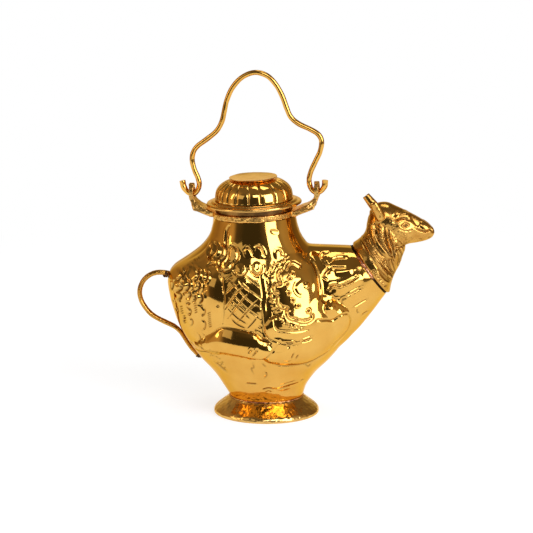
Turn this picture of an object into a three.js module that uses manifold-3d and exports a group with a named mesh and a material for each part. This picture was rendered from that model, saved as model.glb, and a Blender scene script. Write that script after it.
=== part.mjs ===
// A water pot in the form of a seated cow, raised in brass sheet, that pours through the cow's head.
// Millimetres, +Z up. The cow faces +X and the pot stands on its foot ring.

import * as THREE from 'three';
import { mergeVertices } from 'three/addons/utils/BufferGeometryUtils.js';
import Module from 'manifold-3d';

const wasm = await Module();
wasm.setup();

// Metal and joints
const sheet = 1.2;              // raised and spun sheet
const castWall = 2.6;           // wall of the hollow head casting
const seat = 0.3;               // clearance at each brazed joint and resting face
const brazeLine = 0.6;          // height of the filler seen between two brazed edges
const brazeSink = 0.1;          // filler below the surface of the sheets

// Foot ring
const footRadius = 37;
const footHeight = 11.6;
const footLip = 1.8;            // upright band round the rim
const footTread = 2.6;          // width of the face that it stands on
const footFlange = 6.5;         // width of the flat top turned inwards
const footLap = 0.4;            // flat top beyond the stem of the body
const footBulge = [1, 2.2];     // how the rim curves in above the upright band
const footShoulder = [4, 4.2];  // where that curve ends and the straight flank starts

// Sleeve in the mouth, which also sets the throat of the body and the ring of the plate
const sleeveRadius = 26.4;
const sleeveStand = 3.1;        // sleeve above the plate
const sleeveDrop = 6;           // sleeve below the top of the plate
const throatGap = 1.8;          // throat outside the sleeve
const ringWidth = 2.6;          // ring of the plate round the sleeve

// Body, as level rows from the stem to the throat: reach back, reach forward, half width
const stemRadius = 26;
const throatRadius = sleeveRadius + throatGap;
const throatTaper = 0.6;        // the throat draws in towards its rim
const mouthOffset = -8.6;       // mouth axis from the foot's axis
const mouthHeight = 140.9;      // underside of the mouth plate
const mouthTilt = THREE.MathUtils.degToRad(2.2);
const flankRows = [
  { rise: 21, back: 31.0, front: 28.8, side: 30.0 },
  { rise: 31, back: 37.8, front: 36.2, side: 35.0 },
  { rise: 41, back: 46.9, front: 46.5, side: 40.5 },
  { rise: 52, back: 55.2, front: 54.0, side: 43.5 },
  { rise: 66, back: 62.6, front: 58.0, side: 44.5 },
  { rise: 82, back: 67.5, front: 57.0, side: 44.0 },
  { rise: 96, back: 69.2, front: 52.0, side: 41.5 },
  { rise: 104.5, back: 65.2, front: 44.5, side: 38.8 },
  { rise: 112.5, back: 53.8, front: 35.8, side: 35.4 },
  { rise: 121, back: 43.8, front: 28.4, side: 32.2 },
  { rise: 131, back: 38.3, front: 22.7, side: 29.9 },
];

// Neck of the cow, from inside the body to the seam where the head is brazed on
const neckRoot = { top: [14, 120.6], bottom: [45, 40], wide: 30 };
const neckMiddle = { top: [37, 119.7], bottom: [65.5, 61.4], wide: 27 };
const seamCentre = [71.25, 102];
const seamAngle = THREE.MathUtils.degToRad(36.9);
const seamRadius = 21;
const neckHollow = [0.08, 1.05]; // stretch of the neck that is hollow

// Folded legs raised on the flank, in the side view: a back, and the reach of its curve above and below
const limbs = [
  {
    back: [[-49, 52.8], [-39, 53.2], [-29, 53.8], [-18, 53.0], [-8, 51.8], [-1.5, 52.0]],
    above: [3.0, 10.5, 16.2, 16.0, 14.6, 9.5],
    below: [2.5, 3.6, 3.6, 3.8, 4.2, 4.4],
    height: 5.6,
    edge: 1,
  },
  {
    back: [[45, 81], [50, 74], [49.5, 67], [42, 59.5], [28, 54.0], [14, 51.5], [4, 51.0]],
    above: [5.5, 8.0, 9.2, 10.2, 10.0, 9.0, 6.5],
    below: [5.5, 8.0, 9.0, 9.8, 10.4, 8.6, 6.5],
    height: 4.2,
    edge: 0.7,
  },
];

// Oval swellings beside them: saddle pad, knee, haunch, rump and the panel under the throat
const swellings = [
  { centre: [20.0, 94], size: [18.5, 24.5], lean: 8, height: 2.4, edge: 0.7 },
  { centre: [39.0, 82.5], size: [8.5, 8.0], lean: 0, height: 2.4, edge: 0.8 },
  { centre: [-37, 90], size: [7.5, 17], lean: 0, height: 1.2, edge: 1 },
  { centre: [-53, 86], size: [12, 25], lean: 12, height: 1.0, edge: 1 },
  { centre: [-15, 89], size: [13.5, 21], lean: 0, height: 1.2, edge: 1 },
];
const reliefFade = [8, 22];     // half width over which the relief fades in from the middle line

// Mouth plate with its two lugs
const plateThickness = 5.2;
const plateRadius = sleeveRadius + ringWidth;
const plateYaw = THREE.MathUtils.degToRad(-8);
const armWidth = 17;            // at the ring
const lugWidth = 10.8;
const lugThickness = 3.2;
const lugReach = 43.9;          // middle of the plate to the middle of each eye
const plateShift = 0.8;         // arms off centre along their length
const armRise = 5.0;            // bend of the arm above the underside of the ring
const armCorner = 3.4;          // slant under that bend
const armBend = [2.2, 3.8];     // hollow curve on top of the bend: its handle and its end
const armTop = [6.5, 2.2];
const armRoot = 3;              // arm carried in over the ring
const lugFoot = 2;              // upright lug from this far below the hinge line
const lugShoulder = 4;          // full width of the lug from this far below the hinge line

// Lid
const flangeRadius = 33.2;
const flangeEdge = 1.4;
const flangeLip = [1.2, 1.3];   // rim turned down: its depth and width
const beadHeight = 2.9;
const domeRadius = 27.2;
const domeHeight = 13.4;
const crownRadius = 15;         // flat top of the dome
const saucerRadius = 16.8;
const saucerHeight = 1.8;
const saucerStem = 14;
const rimPull = 8;              // curve of the dome: handle above its rim
const crownPull = 8.5;          // and handle beyond its flat top
const crownDrop = 1;
const beadWidth = 3;            // bead round the foot of the dome
const beadTop = 1;
const edgeRound = 0.5;          // chamfer of the flange
const saucerEdge = 0.6;
const saucerDish = 0.8;         // middle of the saucer below its edge
const plugDepth = 8;
const plugClearance = 0.4;

// Bail, hung on the hinge line through both eyes
const wireRadius = 1.75;
const hingeRise = 15.25;        // hinge line above the underside of the plate
const eyeHeight = 7.8;
const eyeWidth = 5.2;
const eyeClearance = 0.85;      // eye below the wire, so that the hook can swing
const backHook = [              // out from the eye and up, from the free end inwards
  [6.5, 9.6], [5.7, 5.3], [3.4, 1.7], [0, 0], [-3.2, 1.6], [-5.3, 6.2], [-4.6, 11.3],
];
const bailArch = [              // along from the mouth axis and up from the hinge line
  [-41.5, 17], [-42.8, 23.3], [-42.0, 29], [-38.7, 33.8], [-31.8, 38.7], [-24.9, 44.2],
  [-20.9, 50.6], [-18.9, 57.5], [-16.8, 65.4], [-12.5, 74.2], [-5.5, 81.4], [3.5, 84.7],
  [12.0, 82.3], [18.0, 75.9], [22.1, 67.9], [24.9, 59.4], [27.6, 53.1], [32.9, 48.4],
  [40.7, 44.5], [46.1, 40.9], [48.3, 36], [47.0, 28.9], [43.6, 22], [40.3, 15.2],
];
const frontHook = [
  [-5.2, 9.4], [-4.7, 4.6], [-2.9, 1.4], [0, 0], [3.1, 1.4], [5.4, 4.6], [5.9, 8.6],
];

// Tail handle, as heights and how far its middle stands off the rump
const tailPoints = [
  [98.6, -4], [100.1, 5.4], [99.2, 11.2], [95.6, 15.9], [90.5, 19.2], [85.3, 20.9], [80.8, 21.1],
  [75.9, 20.0], [70.3, 17.4], [66.5, 13.3], [63.2, 8.0], [60.6, 4.3], [57.6, 2.5], [53.4, 2.1],
  [48.8, 2.3], [45.2, 2.4], [42.4, 2.2], [40.3, 1.9],
];
const tailThickness = 3.2;
const tailTip = 2.6;            // thickness where it is hammered down on the body
const tailWidth = 4.6;
const tailBrazeLift = 0.2;      // middle of the top braze above the end of the strip
const tailBraze = [6.4, 7.4, 6.6];
const tailFootBraze = [7, 7.6, 6];
const tailBrazeOut = 1;         // middle of the top braze off the rump
const tailFootShift = [1.8, 0.6]; // middle of the foot braze from the end of the strip
const tailFlatness = 0.75;      // inner side of the half-round strip
const tailDrawn = [0.6, 0.75];  // share of the length over which it thins to its tip

// Head casting, as chords of the side view from the seam centre, with half widths
const throatChords = [
  { top: [-10.6, 19.0], bottom: [15.4, -14.3], wide: 21.3 },
  { top: [-6.9, 21.6], bottom: [16.7, -7.8], wide: 18.4 },
  { top: [-3.6, 25.0], bottom: [18.9, -2.0], wide: 16.4 },
  { top: [-1.9, 28.8], bottom: [21.8, 3.6], wide: 14.8 },
  { top: [-1.2, 33.6], bottom: [24.0, 10.2], wide: 13.2 },
  { top: [0.6, 39.5], bottom: [25.7, 15.2], wide: 12.0 },
  { top: [6.2, 44.0], bottom: [25.5, 22.0], wide: 10.5 },
];
const skullChords = [
  { top: [0.6, 41.6], bottom: [0.4, 34.0], wide: 4.5 },
  { top: [5.4, 47.0], bottom: [5.0, 26.0], wide: 9.6 },
  { top: [12.4, 48.0], bottom: [13.4, 20.0], wide: 11.4 },
  { top: [19.0, 45.3], bottom: [22.5, 17.2], wide: 11.2 },
  { top: [25.8, 42.1], bottom: [28.4, 18.6], wide: 9.6 },
  { top: [33.6, 37.9], bottom: [33.6, 19.4], wide: 7.6 },
  { top: [40.4, 33.7], bottom: [39.6, 20.8], wide: 6.4 },
  { top: [44.6, 30.2], bottom: [43.8, 22.8], wide: 4.8 },
  { top: [45.9, 27.6], bottom: [45.6, 25.2], wide: 2.2 },
];
const earBase = [8.4, 10.4, 37.6];
const earTips = { near: [2.4, 12.4, 46.0], far: [0.8, 13.0, 48.4] };
const earRadius = 2.7;
const earRoot = 3.0;            // radius where the ear leaves the head
const earFlatness = 0.72;
const throatSpan = [-0.2, 1];   // stretches of both forms, outside and hollow
const throatHollow = [-0.3, 0.86];
const skullHollow = [0.2, 0.66];
const spoutBore = 2.2;
const spoutInside = [16, 32];   // where the bore starts in the head
const spoutOutside = [52, 25.2];

// Facets
const roundSides = 40;
const footSides = 40;
const bodySides = 56;
const bodySteps = 32;
const neckSides = 28;
const neckSteps = 10;
const limbSteps = 6;            // per point of a limb's back
const headSides = 18;
const tailSides = 10;
const tailSteps = 44;
const wireSteps = 96;
const curveSteps = 5;

const brass = { color: 0xd9a441, roughness: 0.18, metalness: 1 };
const castBrass = { color: 0xc28f35, roughness: 0.32, metalness: 1 };
const wireBrass = { color: 0xd8a03a, roughness: 0.22, metalness: 1 };
const coppery = { color: 0xb0653c, roughness: 0.4, metalness: 1 };
const scorched = { color: 0x3a2a1c, roughness: 0.7, metalness: 0.6 };

const cutter = 400;             // side of the blocks that trim the body

// Merges shared corners, drops empty triangles and turns every face outwards
function welded(geometry) {
  const bare = geometry.clone();
  bare.deleteAttribute('normal');
  bare.deleteAttribute('uv');
  const merged = mergeVertices(bare, 1e-4);
  const corners = merged.index.array;
  const kept = [];
  for (let i = 0; i < corners.length; i += 3) {
    const [a, b, c] = [corners[i], corners[i + 1], corners[i + 2]];
    if (a !== b && b !== c && c !== a) kept.push(a, b, c);
  }
  const position = merged.attributes.position;
  const [p, q, r] = [new THREE.Vector3(), new THREE.Vector3(), new THREE.Vector3()];
  let volume = 0;
  for (let i = 0; i < kept.length; i += 3) {
    p.fromBufferAttribute(position, kept[i]);
    q.fromBufferAttribute(position, kept[i + 1]);
    r.fromBufferAttribute(position, kept[i + 2]);
    volume += p.dot(q.cross(r));
  }
  if (volume < 0) kept.reverse();
  merged.setIndex(kept);
  return merged;
}

function solid(geometry) {
  const merged = welded(geometry);
  return new wasm.Manifold(new wasm.Mesh({
    numProp: 3,
    vertProperties: new Float32Array(merged.attributes.position.array),
    triVerts: new Uint32Array(merged.index.array),
  }));
}

function geometryOf(shape) {
  const mesh = shape.getMesh();
  const geometry = new THREE.BufferGeometry();
  geometry.setAttribute('position', new THREE.BufferAttribute(new Float32Array(mesh.vertProperties), 3));
  geometry.setIndex(Array.from(mesh.triVerts));
  geometry.computeVertexNormals();
  return geometry;
}

function piece(name, shape, finish) {
  const mesh = new THREE.Mesh(geometryOf(shape), new THREE.MeshStandardMaterial(finish));
  mesh.name = name;
  return mesh;
}

// Turns an outline of [radius, height] about Z
function turned(outline, sides = roundSides) {
  const points = outline.getPoints(curveSteps);
  if (!points[0].equals(points[points.length - 1]) && points[0].x > 0) points.push(points[0].clone());
  return solid(new THREE.LatheGeometry(points, sides).rotateX(Math.PI / 2));
}

function outlineOf(points) {
  const path = new THREE.Path();
  path.setFromPoints(points.map(([radius, height]) => new THREE.Vector2(radius, height)));
  return path;
}

function ring(inner, outer, low, high) {
  return turned(outlineOf([[inner, low], [outer, low], [outer, high], [inner, high], [inner, low]]));
}

// Smooth value at t, from 0 to 1, through evenly spaced values
function spline(values, t) {
  const last = values.length - 1;
  const at = Math.max(0, Math.min(Math.floor(t * last), last - 1));
  const u = t * last - at;
  const start = values[at];
  const end = values[at + 1];
  const before = at > 0 ? values[at - 1] : 2 * start - end;
  const after = at + 1 < last ? values[at + 2] : 2 * end - start;
  const bend = 2 * before - 5 * start + 4 * end - after;
  const twist = 3 * (start - end) + after - before;
  return start + 0.5 * u * (end - before + u * (bend + u * twist));
}

// A closed skin of oval sections: each has a centre, an arm in the XZ plane and a half width along Y
function skin(sectionAt, sides, steps, shape = (cos, sin) => [cos, sin]) {
  const form = new THREE.CylinderGeometry(1, 1, 1, sides, steps);
  const position = form.attributes.position;
  for (let i = 0; i < position.count; i += 1) {
    const [x, y, z] = [position.getX(i), position.getY(i), position.getZ(i)];
    const section = sectionAt(y + 0.5);
    const [along, across] = Math.hypot(x, z) > 0.5 ? shape(x, z) : [0, 0];
    position.setXYZ(
      i,
      section.centre[0] + section.arm[0] * along,
      section.wide * across,
      section.centre[1] + section.arm[1] * along,
    );
  }
  return form;
}

function sectionFromChord(top, bottom, wide, inset) {
  const arm = [(top[0] - bottom[0]) / 2, (top[1] - bottom[1]) / 2];
  const shrink = 1 - inset / Math.hypot(...arm);
  return {
    centre: [(top[0] + bottom[0]) / 2, (top[1] + bottom[1]) / 2],
    arm: [arm[0] * shrink, arm[1] * shrink],
    wide: wide - inset,
  };
}

function chordAt(chords, t, inset = 0) {
  const at = (end, axis) => spline(chords.map((chord) => chord[end][axis]), t);
  const wide = spline(chords.map((chord) => chord.wide), t);
  return sectionFromChord([at('top', 0), at('top', 1)], [at('bottom', 0), at('bottom', 1)], wide, inset);
}

// Body rows, closed by the stem below and the throat above
const stemRise = footHeight + brazeLine + 2 * seat;
const throatOverrun = 8;
const bodyRows = [
  { rise: stemRise, back: stemRadius, front: stemRadius, side: stemRadius },
  ...flankRows,
  {
    rise: mouthHeight + throatOverrun,
    back: throatRadius - mouthOffset - throatTaper,
    front: throatRadius + mouthOffset - throatTaper,
    side: throatRadius - throatTaper,
  },
];

function rowAt(t) {
  const at = (key) => spline(bodyRows.map((row) => row[key]), t);
  return { rise: at('rise'), back: at('back'), front: at('front'), side: at('side') };
}

const widestLean = 2.2;

// How much wider a level offset is than the sheet it stands for, where the wall leans
function lean(t) {
  const step = 0.004;
  const [low, high] = [rowAt(Math.max(t - step, 0)), rowAt(Math.min(t + step, 1))];
  const spread = (high.back + high.front - low.back - low.front) / 2;
  return Math.hypot(1, spread / (high.rise - low.rise));
}

function vessel(inset, overrun) {
  return skin((t) => {
    const row = rowAt(t);
    const step = inset * Math.min(lean(t), widestLean);
    const beyond = t < 0.001 ? -overrun : t > 0.999 ? overrun : 0;
    return {
      centre: [(row.front - row.back) / 2, row.rise + beyond],
      arm: [(row.front + row.back) / 2 - step, 0],
      wide: row.side - step,
    };
  }, bodySides, bodySteps);
}

function backAt(rise) {
  let [low, high] = [0, 1];
  for (let i = 0; i < 40; i += 1) {
    const middle = (low + high) / 2;
    if (rowAt(middle).rise < rise) low = middle;
    else high = middle;
  }
  return rowAt(low).back;
}

// Neck, whose last section is the seam of the head
const seamUp = [-Math.sin(seamAngle) * seamRadius, Math.cos(seamAngle) * seamRadius];
const seamTop = [seamCentre[0] + seamUp[0], seamCentre[1] + seamUp[1]];
const seamBottom = [seamCentre[0] - seamUp[0], seamCentre[1] - seamUp[1]];
const neckChords = [neckRoot, neckMiddle, { top: seamTop, bottom: seamBottom, wide: seamRadius }];

function neck(inset, from, to) {
  return skin((t) => chordAt(neckChords, from + (to - from) * t, inset), neckSides, neckSteps);
}

// Height of a folded leg over the flank at a point of the side view
function limbRise(limb, x, z) {
  const count = (limb.back.length - 1) * limbSteps;
  let nearest = { away: Infinity };
  for (let i = 0; i <= count; i += 1) {
    const t = i / count;
    const across = x - spline(limb.back.map((point) => point[0]), t);
    const over = z - spline(limb.back.map((point) => point[1]), t);
    const away = Math.hypot(across, over);
    if (away < nearest.away) nearest = { away, over, t };
  }
  const side = nearest.away > 0 ? nearest.over / nearest.away : 0;
  const reach = THREE.MathUtils.lerp(
    spline(limb.below, nearest.t),
    spline(limb.above, nearest.t),
    (1 + side) / 2,
  );
  return limb.height * Math.max(0, 1 - (nearest.away / reach) ** 2) ** limb.edge;
}

function swellingRise(swelling, x, z) {
  const turn = THREE.MathUtils.degToRad(swelling.lean);
  const [across, over] = [x - swelling.centre[0], z - swelling.centre[1]];
  const away = Math.hypot(
    (across * Math.cos(turn) + over * Math.sin(turn)) / swelling.size[0],
    (over * Math.cos(turn) - across * Math.sin(turn)) / swelling.size[1],
  );
  return swelling.height * Math.max(0, 1 - away * away) ** swelling.edge;
}

// Pushes the flank out over the folded legs and swellings, on both sides alike
function raiseRelief(geometry) {
  const position = geometry.attributes.position;
  for (let i = 0; i < position.count; i += 1) {
    const [x, y, z] = [position.getX(i), position.getY(i), position.getZ(i)];
    let push = Math.max(...limbs.map((limb) => limbRise(limb, x, z)));
    for (const swelling of swellings) push += swellingRise(swelling, x, z);
    const facing = THREE.MathUtils.smoothstep(Math.abs(y), ...reliefFade);
    position.setY(i, y + Math.sign(y) * push * facing);
  }
  return geometry;
}

const mouthFrame = new THREE.Matrix4()
  .makeRotationY(-mouthTilt)
  .setPosition(mouthOffset, 0, mouthHeight);

function block(width, depth, height, x, y, z) {
  return new THREE.BoxGeometry(width, depth, height).translate(x, y, z);
}

const bodyForm = solid(raiseRelief(vessel(0, 0))).add(solid(raiseRelief(neck(0, 0, 1))));
const bodyHollow = solid(raiseRelief(vessel(sheet, 2))).add(solid(raiseRelief(neck(sheet, ...neckHollow))));
const aboveMouth = solid(block(cutter, cutter, cutter, 0, 0, cutter / 2 - seat).applyMatrix4(mouthFrame));
const shell = bodyForm.subtract(bodyHollow).subtract(aboveMouth);
const nearSide = solid(block(cutter, cutter, cutter, 0, -(cutter + seat) / 2, 0));
const farSide = solid(block(cutter, cutter, cutter, 0, (cutter + seat) / 2, 0));
const bodyClearance = solid(raiseRelief(vessel(-seat, 0)));

// Foot ring, floor and the braze line between foot and body
function footOutline() {
  const top = stemRadius + footLap;
  const inner = footRadius - footTread;
  const path = new THREE.Path();
  path.moveTo(inner, 0);
  path.lineTo(footRadius, 0);
  path.lineTo(footRadius, footLip);
  path.quadraticCurveTo(
    footRadius - footBulge[0],
    footLip + footBulge[1],
    footRadius - footShoulder[0],
    footLip + footShoulder[1],
  );
  path.lineTo(top, footHeight);
  path.lineTo(top - footFlange, footHeight);
  path.lineTo(top - footFlange, footHeight - sheet);
  path.lineTo(top - sheet, footHeight - sheet);
  path.lineTo(footRadius - footShoulder[0] - sheet, footLip + footShoulder[1] - sheet);
  path.lineTo(inner, footLip);
  path.lineTo(inner, 0);
  return path;
}

const stemInner = stemRadius - sheet * lean(0);
const floorRise = footHeight + seat;
const footPieces = [
  piece('foot_ring', turned(footOutline(), footSides), brass),
  piece('foot_braze', ring(stemInner, stemRadius - brazeSink, floorRise, floorRise + brazeLine), coppery),
  piece('body_floor', turned(outlineOf([
    [0, floorRise],
    [stemInner - seat, floorRise],
    [stemInner - seat, floorRise + sheet],
    [0, floorRise + sheet],
  ])), brass),
];

// Tail handle with its braze at both ends
const tailPath = new THREE.CatmullRomCurve3(
  tailPoints.map(([rise, out]) => new THREE.Vector3(-backAt(rise) - out, 0, rise)),
);

function tail(extra) {
  return skin((t) => {
    const middle = tailPath.getPoint(t);
    const course = tailPath.getTangent(t);
    const drawn = THREE.MathUtils.smoothstep(t, ...tailDrawn);
    const half = THREE.MathUtils.lerp(tailThickness, tailTip, drawn) / 2;
    return {
      centre: [middle.x, middle.z],
      arm: [course.z * (half + extra), -course.x * (half + extra)],
      wide: tailWidth / 2 + extra,
    };
  }, tailSides, tailSteps, (cos, sin) => [cos > 0 ? cos * tailFlatness : cos, sin]);
}

function blob(x, z, size) {
  return new THREE.SphereGeometry(0.5, 12, 8).scale(...size).translate(x, 0, z);
}

const tailSolid = solid(tail(0)).subtract(bodyClearance);
const tailClearance = solid(tail(seat));
const tailEnd = tailPath.getPoint(1);
const tailBrazeRise = tailPoints[0][0] + tailBrazeLift;
const tailPieces = [
  piece('tail_handle', tailSolid, brass),
  piece('tail_top_braze', solid(blob(-backAt(tailBrazeRise) - tailBrazeOut, tailBrazeRise, tailBraze))
    .subtract(bodyClearance).subtract(tailClearance), scorched),
  piece('tail_foot_braze', solid(blob(tailEnd.x + tailFootShift[0], tailEnd.z + tailFootShift[1], tailFootBraze))
    .subtract(bodyClearance).subtract(tailClearance), scorched),
];

// Head casting, drawn from the seam centre
function headMove(geometry) {
  return geometry.translate(seamCentre[0], 0, seamCentre[1]);
}

function headLimb(chords, sides, steps, inset, from, to) {
  return headMove(skin((t) => chordAt(chords, from + (to - from) * t, inset), sides, steps));
}

function ear(side, [along, out, rise]) {
  const base = new THREE.Vector3(earBase[0], side * earBase[1], earBase[2]);
  const tip = new THREE.Vector3(along, side * out, rise);
  const course = tip.clone().sub(base);
  const length = course.length() + earRadius;
  const turn = new THREE.Quaternion().setFromUnitVectors(new THREE.Vector3(0, 1, 0), course.normalize());
  const leaf = new THREE.CylinderGeometry(earRadius, earRoot, length, 12, 2);
  leaf.scale(1, 1, earFlatness).translate(0, length / 2 - earRadius, 0).applyQuaternion(turn);
  return headMove(leaf.translate(base.x, base.y, base.z));
}

function spout() {
  const [from, to] = [spoutInside, spoutOutside];
  const run = Math.hypot(to[0] - from[0], to[1] - from[1]);
  const bore = new THREE.CylinderGeometry(spoutBore, spoutBore, run, 16);
  bore.rotateZ(Math.PI / 2).rotateY(Math.atan2(from[1] - to[1], to[0] - from[0]));
  return headMove(bore.translate((from[0] + to[0]) / 2, 0, (from[1] + to[1]) / 2));
}

const seamTurn = new THREE.Matrix4().makeRotationY(Math.PI / 2 - seamAngle).setPosition(seamCentre[0], 0, seamCentre[1]);
const headStart = brazeLine + 2 * seat;
const seamBlock = solid(block(cutter, cutter, cutter, 0, 0, headStart - cutter / 2).applyMatrix4(seamTurn));
const headForm = solid(headLimb(throatChords, 24, 11, 0, ...throatSpan))
  .add(solid(headLimb(skullChords, headSides, 14, 0, 0, 1)))
  .add(solid(ear(-1, earTips.near)))
  .add(solid(ear(1, earTips.far)))
  .subtract(seamBlock);
const headHollow = solid(headLimb(throatChords, headSides, 8, castWall, ...throatHollow))
  .add(solid(headLimb(skullChords, 12, 6, castWall, ...skullHollow)))
  .add(solid(spout()));
const headBraze = ring(seamRadius - sheet, seamRadius - brazeSink, seat, seat + brazeLine);

function seamPiece(name, shape, finish) {
  const mesh = piece(name, shape, finish);
  mesh.applyMatrix4(seamTurn);
  return mesh;
}

// Mouth plate: a ring with two arms that bend up into lugs
function armProfile() {
  const inside = lugReach - lugThickness / 2;
  const outside = lugReach + lugThickness / 2;
  const top = hingeRise + eyeHeight + lugWidth;
  const shape = new THREE.Shape();
  shape.moveTo(sleeveRadius - armRoot, 0);
  shape.lineTo(plateRadius, 0);
  shape.lineTo(outside - armCorner, armRise);
  shape.lineTo(outside, hingeRise - lugFoot);
  shape.lineTo(outside, top);
  shape.lineTo(inside, top);
  shape.lineTo(inside, hingeRise - lugFoot);
  shape.quadraticCurveTo(inside - armBend[0], armRise + armBend[1], inside - armTop[0], armRise + armTop[1]);
  shape.lineTo(plateRadius, plateThickness);
  shape.lineTo(sleeveRadius - armRoot, plateThickness);
  shape.closePath();
  return shape;
}

// The arm seen along its length: wide at the ring, round over the eye
function lugProfile() {
  const eyeTop = hingeRise + eyeHeight - wireRadius - eyeClearance - eyeWidth / 2;
  const shape = new THREE.Shape();
  shape.moveTo(armWidth / 2, -seat);
  shape.lineTo(armWidth / 2, plateThickness);
  shape.lineTo(lugWidth / 2, hingeRise - lugShoulder);
  shape.lineTo(lugWidth / 2, eyeTop);
  shape.absarc(0, eyeTop, lugWidth / 2, 0, Math.PI, false);
  shape.lineTo(-lugWidth / 2, hingeRise - lugShoulder);
  shape.lineTo(-armWidth / 2, plateThickness);
  shape.lineTo(-armWidth / 2, -seat);
  shape.closePath();
  return shape;
}

function eyeProfile() {
  const low = hingeRise - wireRadius - eyeClearance + eyeWidth / 2;
  const high = low + eyeHeight - eyeWidth;
  const shape = new THREE.Shape();
  shape.absarc(0, high, eyeWidth / 2, 0, Math.PI, false);
  shape.absarc(0, low, eyeWidth / 2, Math.PI, 2 * Math.PI, false);
  shape.closePath();
  return shape;
}

// Extrudes a profile drawn in the plane of the arm, or in the plane across it
function armSolid(shape, width) {
  const form = new THREE.ExtrudeGeometry(shape, { depth: width, bevelEnabled: false, curveSegments: 5 });
  return solid(form.rotateX(Math.PI / 2).translate(0, width / 2, 0));
}

function acrossSolid(shape, from, length) {
  const form = new THREE.ExtrudeGeometry(shape, { depth: length, bevelEnabled: false, curveSegments: 8 });
  return solid(form.rotateX(Math.PI / 2).rotateZ(Math.PI / 2).translate(from, 0, 0));
}

const armOnce = armSolid(armProfile(), armWidth)
  .intersect(acrossSolid(lugProfile(), 0, lugReach + armWidth))
  .subtract(acrossSolid(eyeProfile(), plateRadius, lugReach));
const armTwice = armOnce.add(armOnce.rotate([0, 0, 180]));
const plateHole = turned(outlineOf([
  [0, -plateThickness],
  [sleeveRadius + seat, -plateThickness],
  [sleeveRadius + seat, 2 * plateThickness],
  [0, 2 * plateThickness],
]));
const plate = ring(sleeveRadius, plateRadius, 0, plateThickness)
  .add(armTwice.translate([plateShift, 0, 0]))
  .subtract(plateHole);

const sleeveTop = plateThickness + sleeveStand;
const sleeve = ring(sleeveRadius - sheet, sleeveRadius, plateThickness - sleeveDrop, sleeveTop);

// Lid, turned in the tilted frame of the mouth
const lidRise = sleeveTop + seat;
const plugRadius = sleeveRadius - sheet - plugClearance;

function flangeOutline() {
  const inner = plugRadius - sheet;
  const path = new THREE.Path();
  path.moveTo(inner, 0);
  path.lineTo(flangeRadius - flangeLip[1], 0);
  path.lineTo(flangeRadius - flangeLip[1], -flangeLip[0]);
  path.lineTo(flangeRadius, -flangeLip[0]);
  path.lineTo(flangeRadius, flangeEdge - edgeRound);
  path.lineTo(flangeRadius - edgeRound, flangeEdge);
  path.lineTo(domeRadius + beadWidth, flangeEdge);
  path.quadraticCurveTo(domeRadius + beadWidth, beadHeight, domeRadius + beadTop, beadHeight);
  path.lineTo(inner, beadHeight);
  path.lineTo(inner, 0);
  return path;
}

function domeOutline() {
  const low = beadHeight + seat;
  const high = low + domeHeight;
  const path = new THREE.Path();
  path.moveTo(domeRadius - sheet, low);
  path.lineTo(domeRadius, low);
  path.bezierCurveTo(domeRadius, low + rimPull, crownRadius + crownPull, high - crownDrop, crownRadius, high);
  path.lineTo(0, high);
  path.lineTo(0, high - sheet);
  path.lineTo(crownRadius - sheet / 2, high - sheet);
  path.bezierCurveTo(
    crownRadius + crownPull - sheet,
    high - crownDrop - sheet,
    domeRadius - sheet,
    low + rimPull - sheet,
    domeRadius - sheet,
    low,
  );
  const points = path.getPoints(6);
  const half = points.findIndex((point) => point.x === 0);
  return [...points.slice(half + 1, -1), ...points.slice(0, half + 1)].reverse();
}

function saucerOutline() {
  const low = beadHeight + domeHeight + 2 * seat;
  const high = low + saucerHeight;
  return outlineOf([
    [0, low],
    [saucerStem, low],
    [saucerStem, low + saucerHeight / 2],
    [saucerRadius, high - saucerEdge],
    [saucerRadius, high],
    [saucerRadius - saucerHeight, high - saucerDish / 2],
    [0, high - saucerDish],
  ]);
}

function domeSolid() {
  const outline = domeOutline();
  return solid(new THREE.LatheGeometry([...outline], roundSides).rotateX(Math.PI / 2));
}

const lid = new THREE.Group();
lid.position.z = lidRise;
lid.add(
  piece('lid_flange', turned(flangeOutline()), brass),
  piece('lid_dome', domeSolid(), brass),
  piece('lid_saucer', turned(saucerOutline()), brass),
  piece('lid_plug', ring(plugRadius - sheet, plugRadius, -plugDepth, -seat), brass),
);

// Bail: one wire with a hook at each end
function bailWire() {
  const points = [
    ...backHook.map(([out, up]) => new THREE.Vector3(-lugReach - out, 0, up)),
    ...bailArch.map(([along, up]) => new THREE.Vector3(along, 0, up)),
    ...frontHook.map(([out, up]) => new THREE.Vector3(lugReach + out, 0, up)),
  ];
  const path = new THREE.CatmullRomCurve3(points);
  const section = new THREE.Shape().absarc(0, 0, wireRadius, 0, 2 * Math.PI, false);
  return solid(new THREE.ExtrudeGeometry(section, {
    steps: wireSteps,
    curveSegments: 4,
    extrudePath: path,
    bevelEnabled: false,
  }));
}

const handleFrame = new THREE.Group();
handleFrame.rotation.z = plateYaw;
handleFrame.add(piece('mouth_plate', plate, castBrass));
const bail = piece('bail_wire', bailWire(), wireBrass);
bail.position.set(plateShift, 0, hingeRise);
handleFrame.add(bail);

const mouth = new THREE.Group();
mouth.applyMatrix4(mouthFrame);
mouth.add(handleFrame, piece('mouth_sleeve', sleeve, brass), lid);

const pot = new THREE.Group();
pot.add(
  piece('body_near_half', shell.intersect(nearSide), brass),
  piece('body_far_half', shell.intersect(farSide), brass),
  ...footPieces,
  ...tailPieces,
  piece('head_casting', headForm.subtract(headHollow), castBrass),
  seamPiece('head_braze', headBraze, coppery),
  mouth,
);

// The origin is under the middle of the whole object, on the surface that it stands on
const object = new THREE.Group();
object.add(pot);
object.updateMatrixWorld(true);
const bounds = new THREE.Box3().setFromObject(pot, true);
pot.position.set(-(bounds.min.x + bounds.max.x) / 2, -(bounds.min.y + bounds.max.y) / 2, -bounds.min.z);

export default object;
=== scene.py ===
import math

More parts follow.
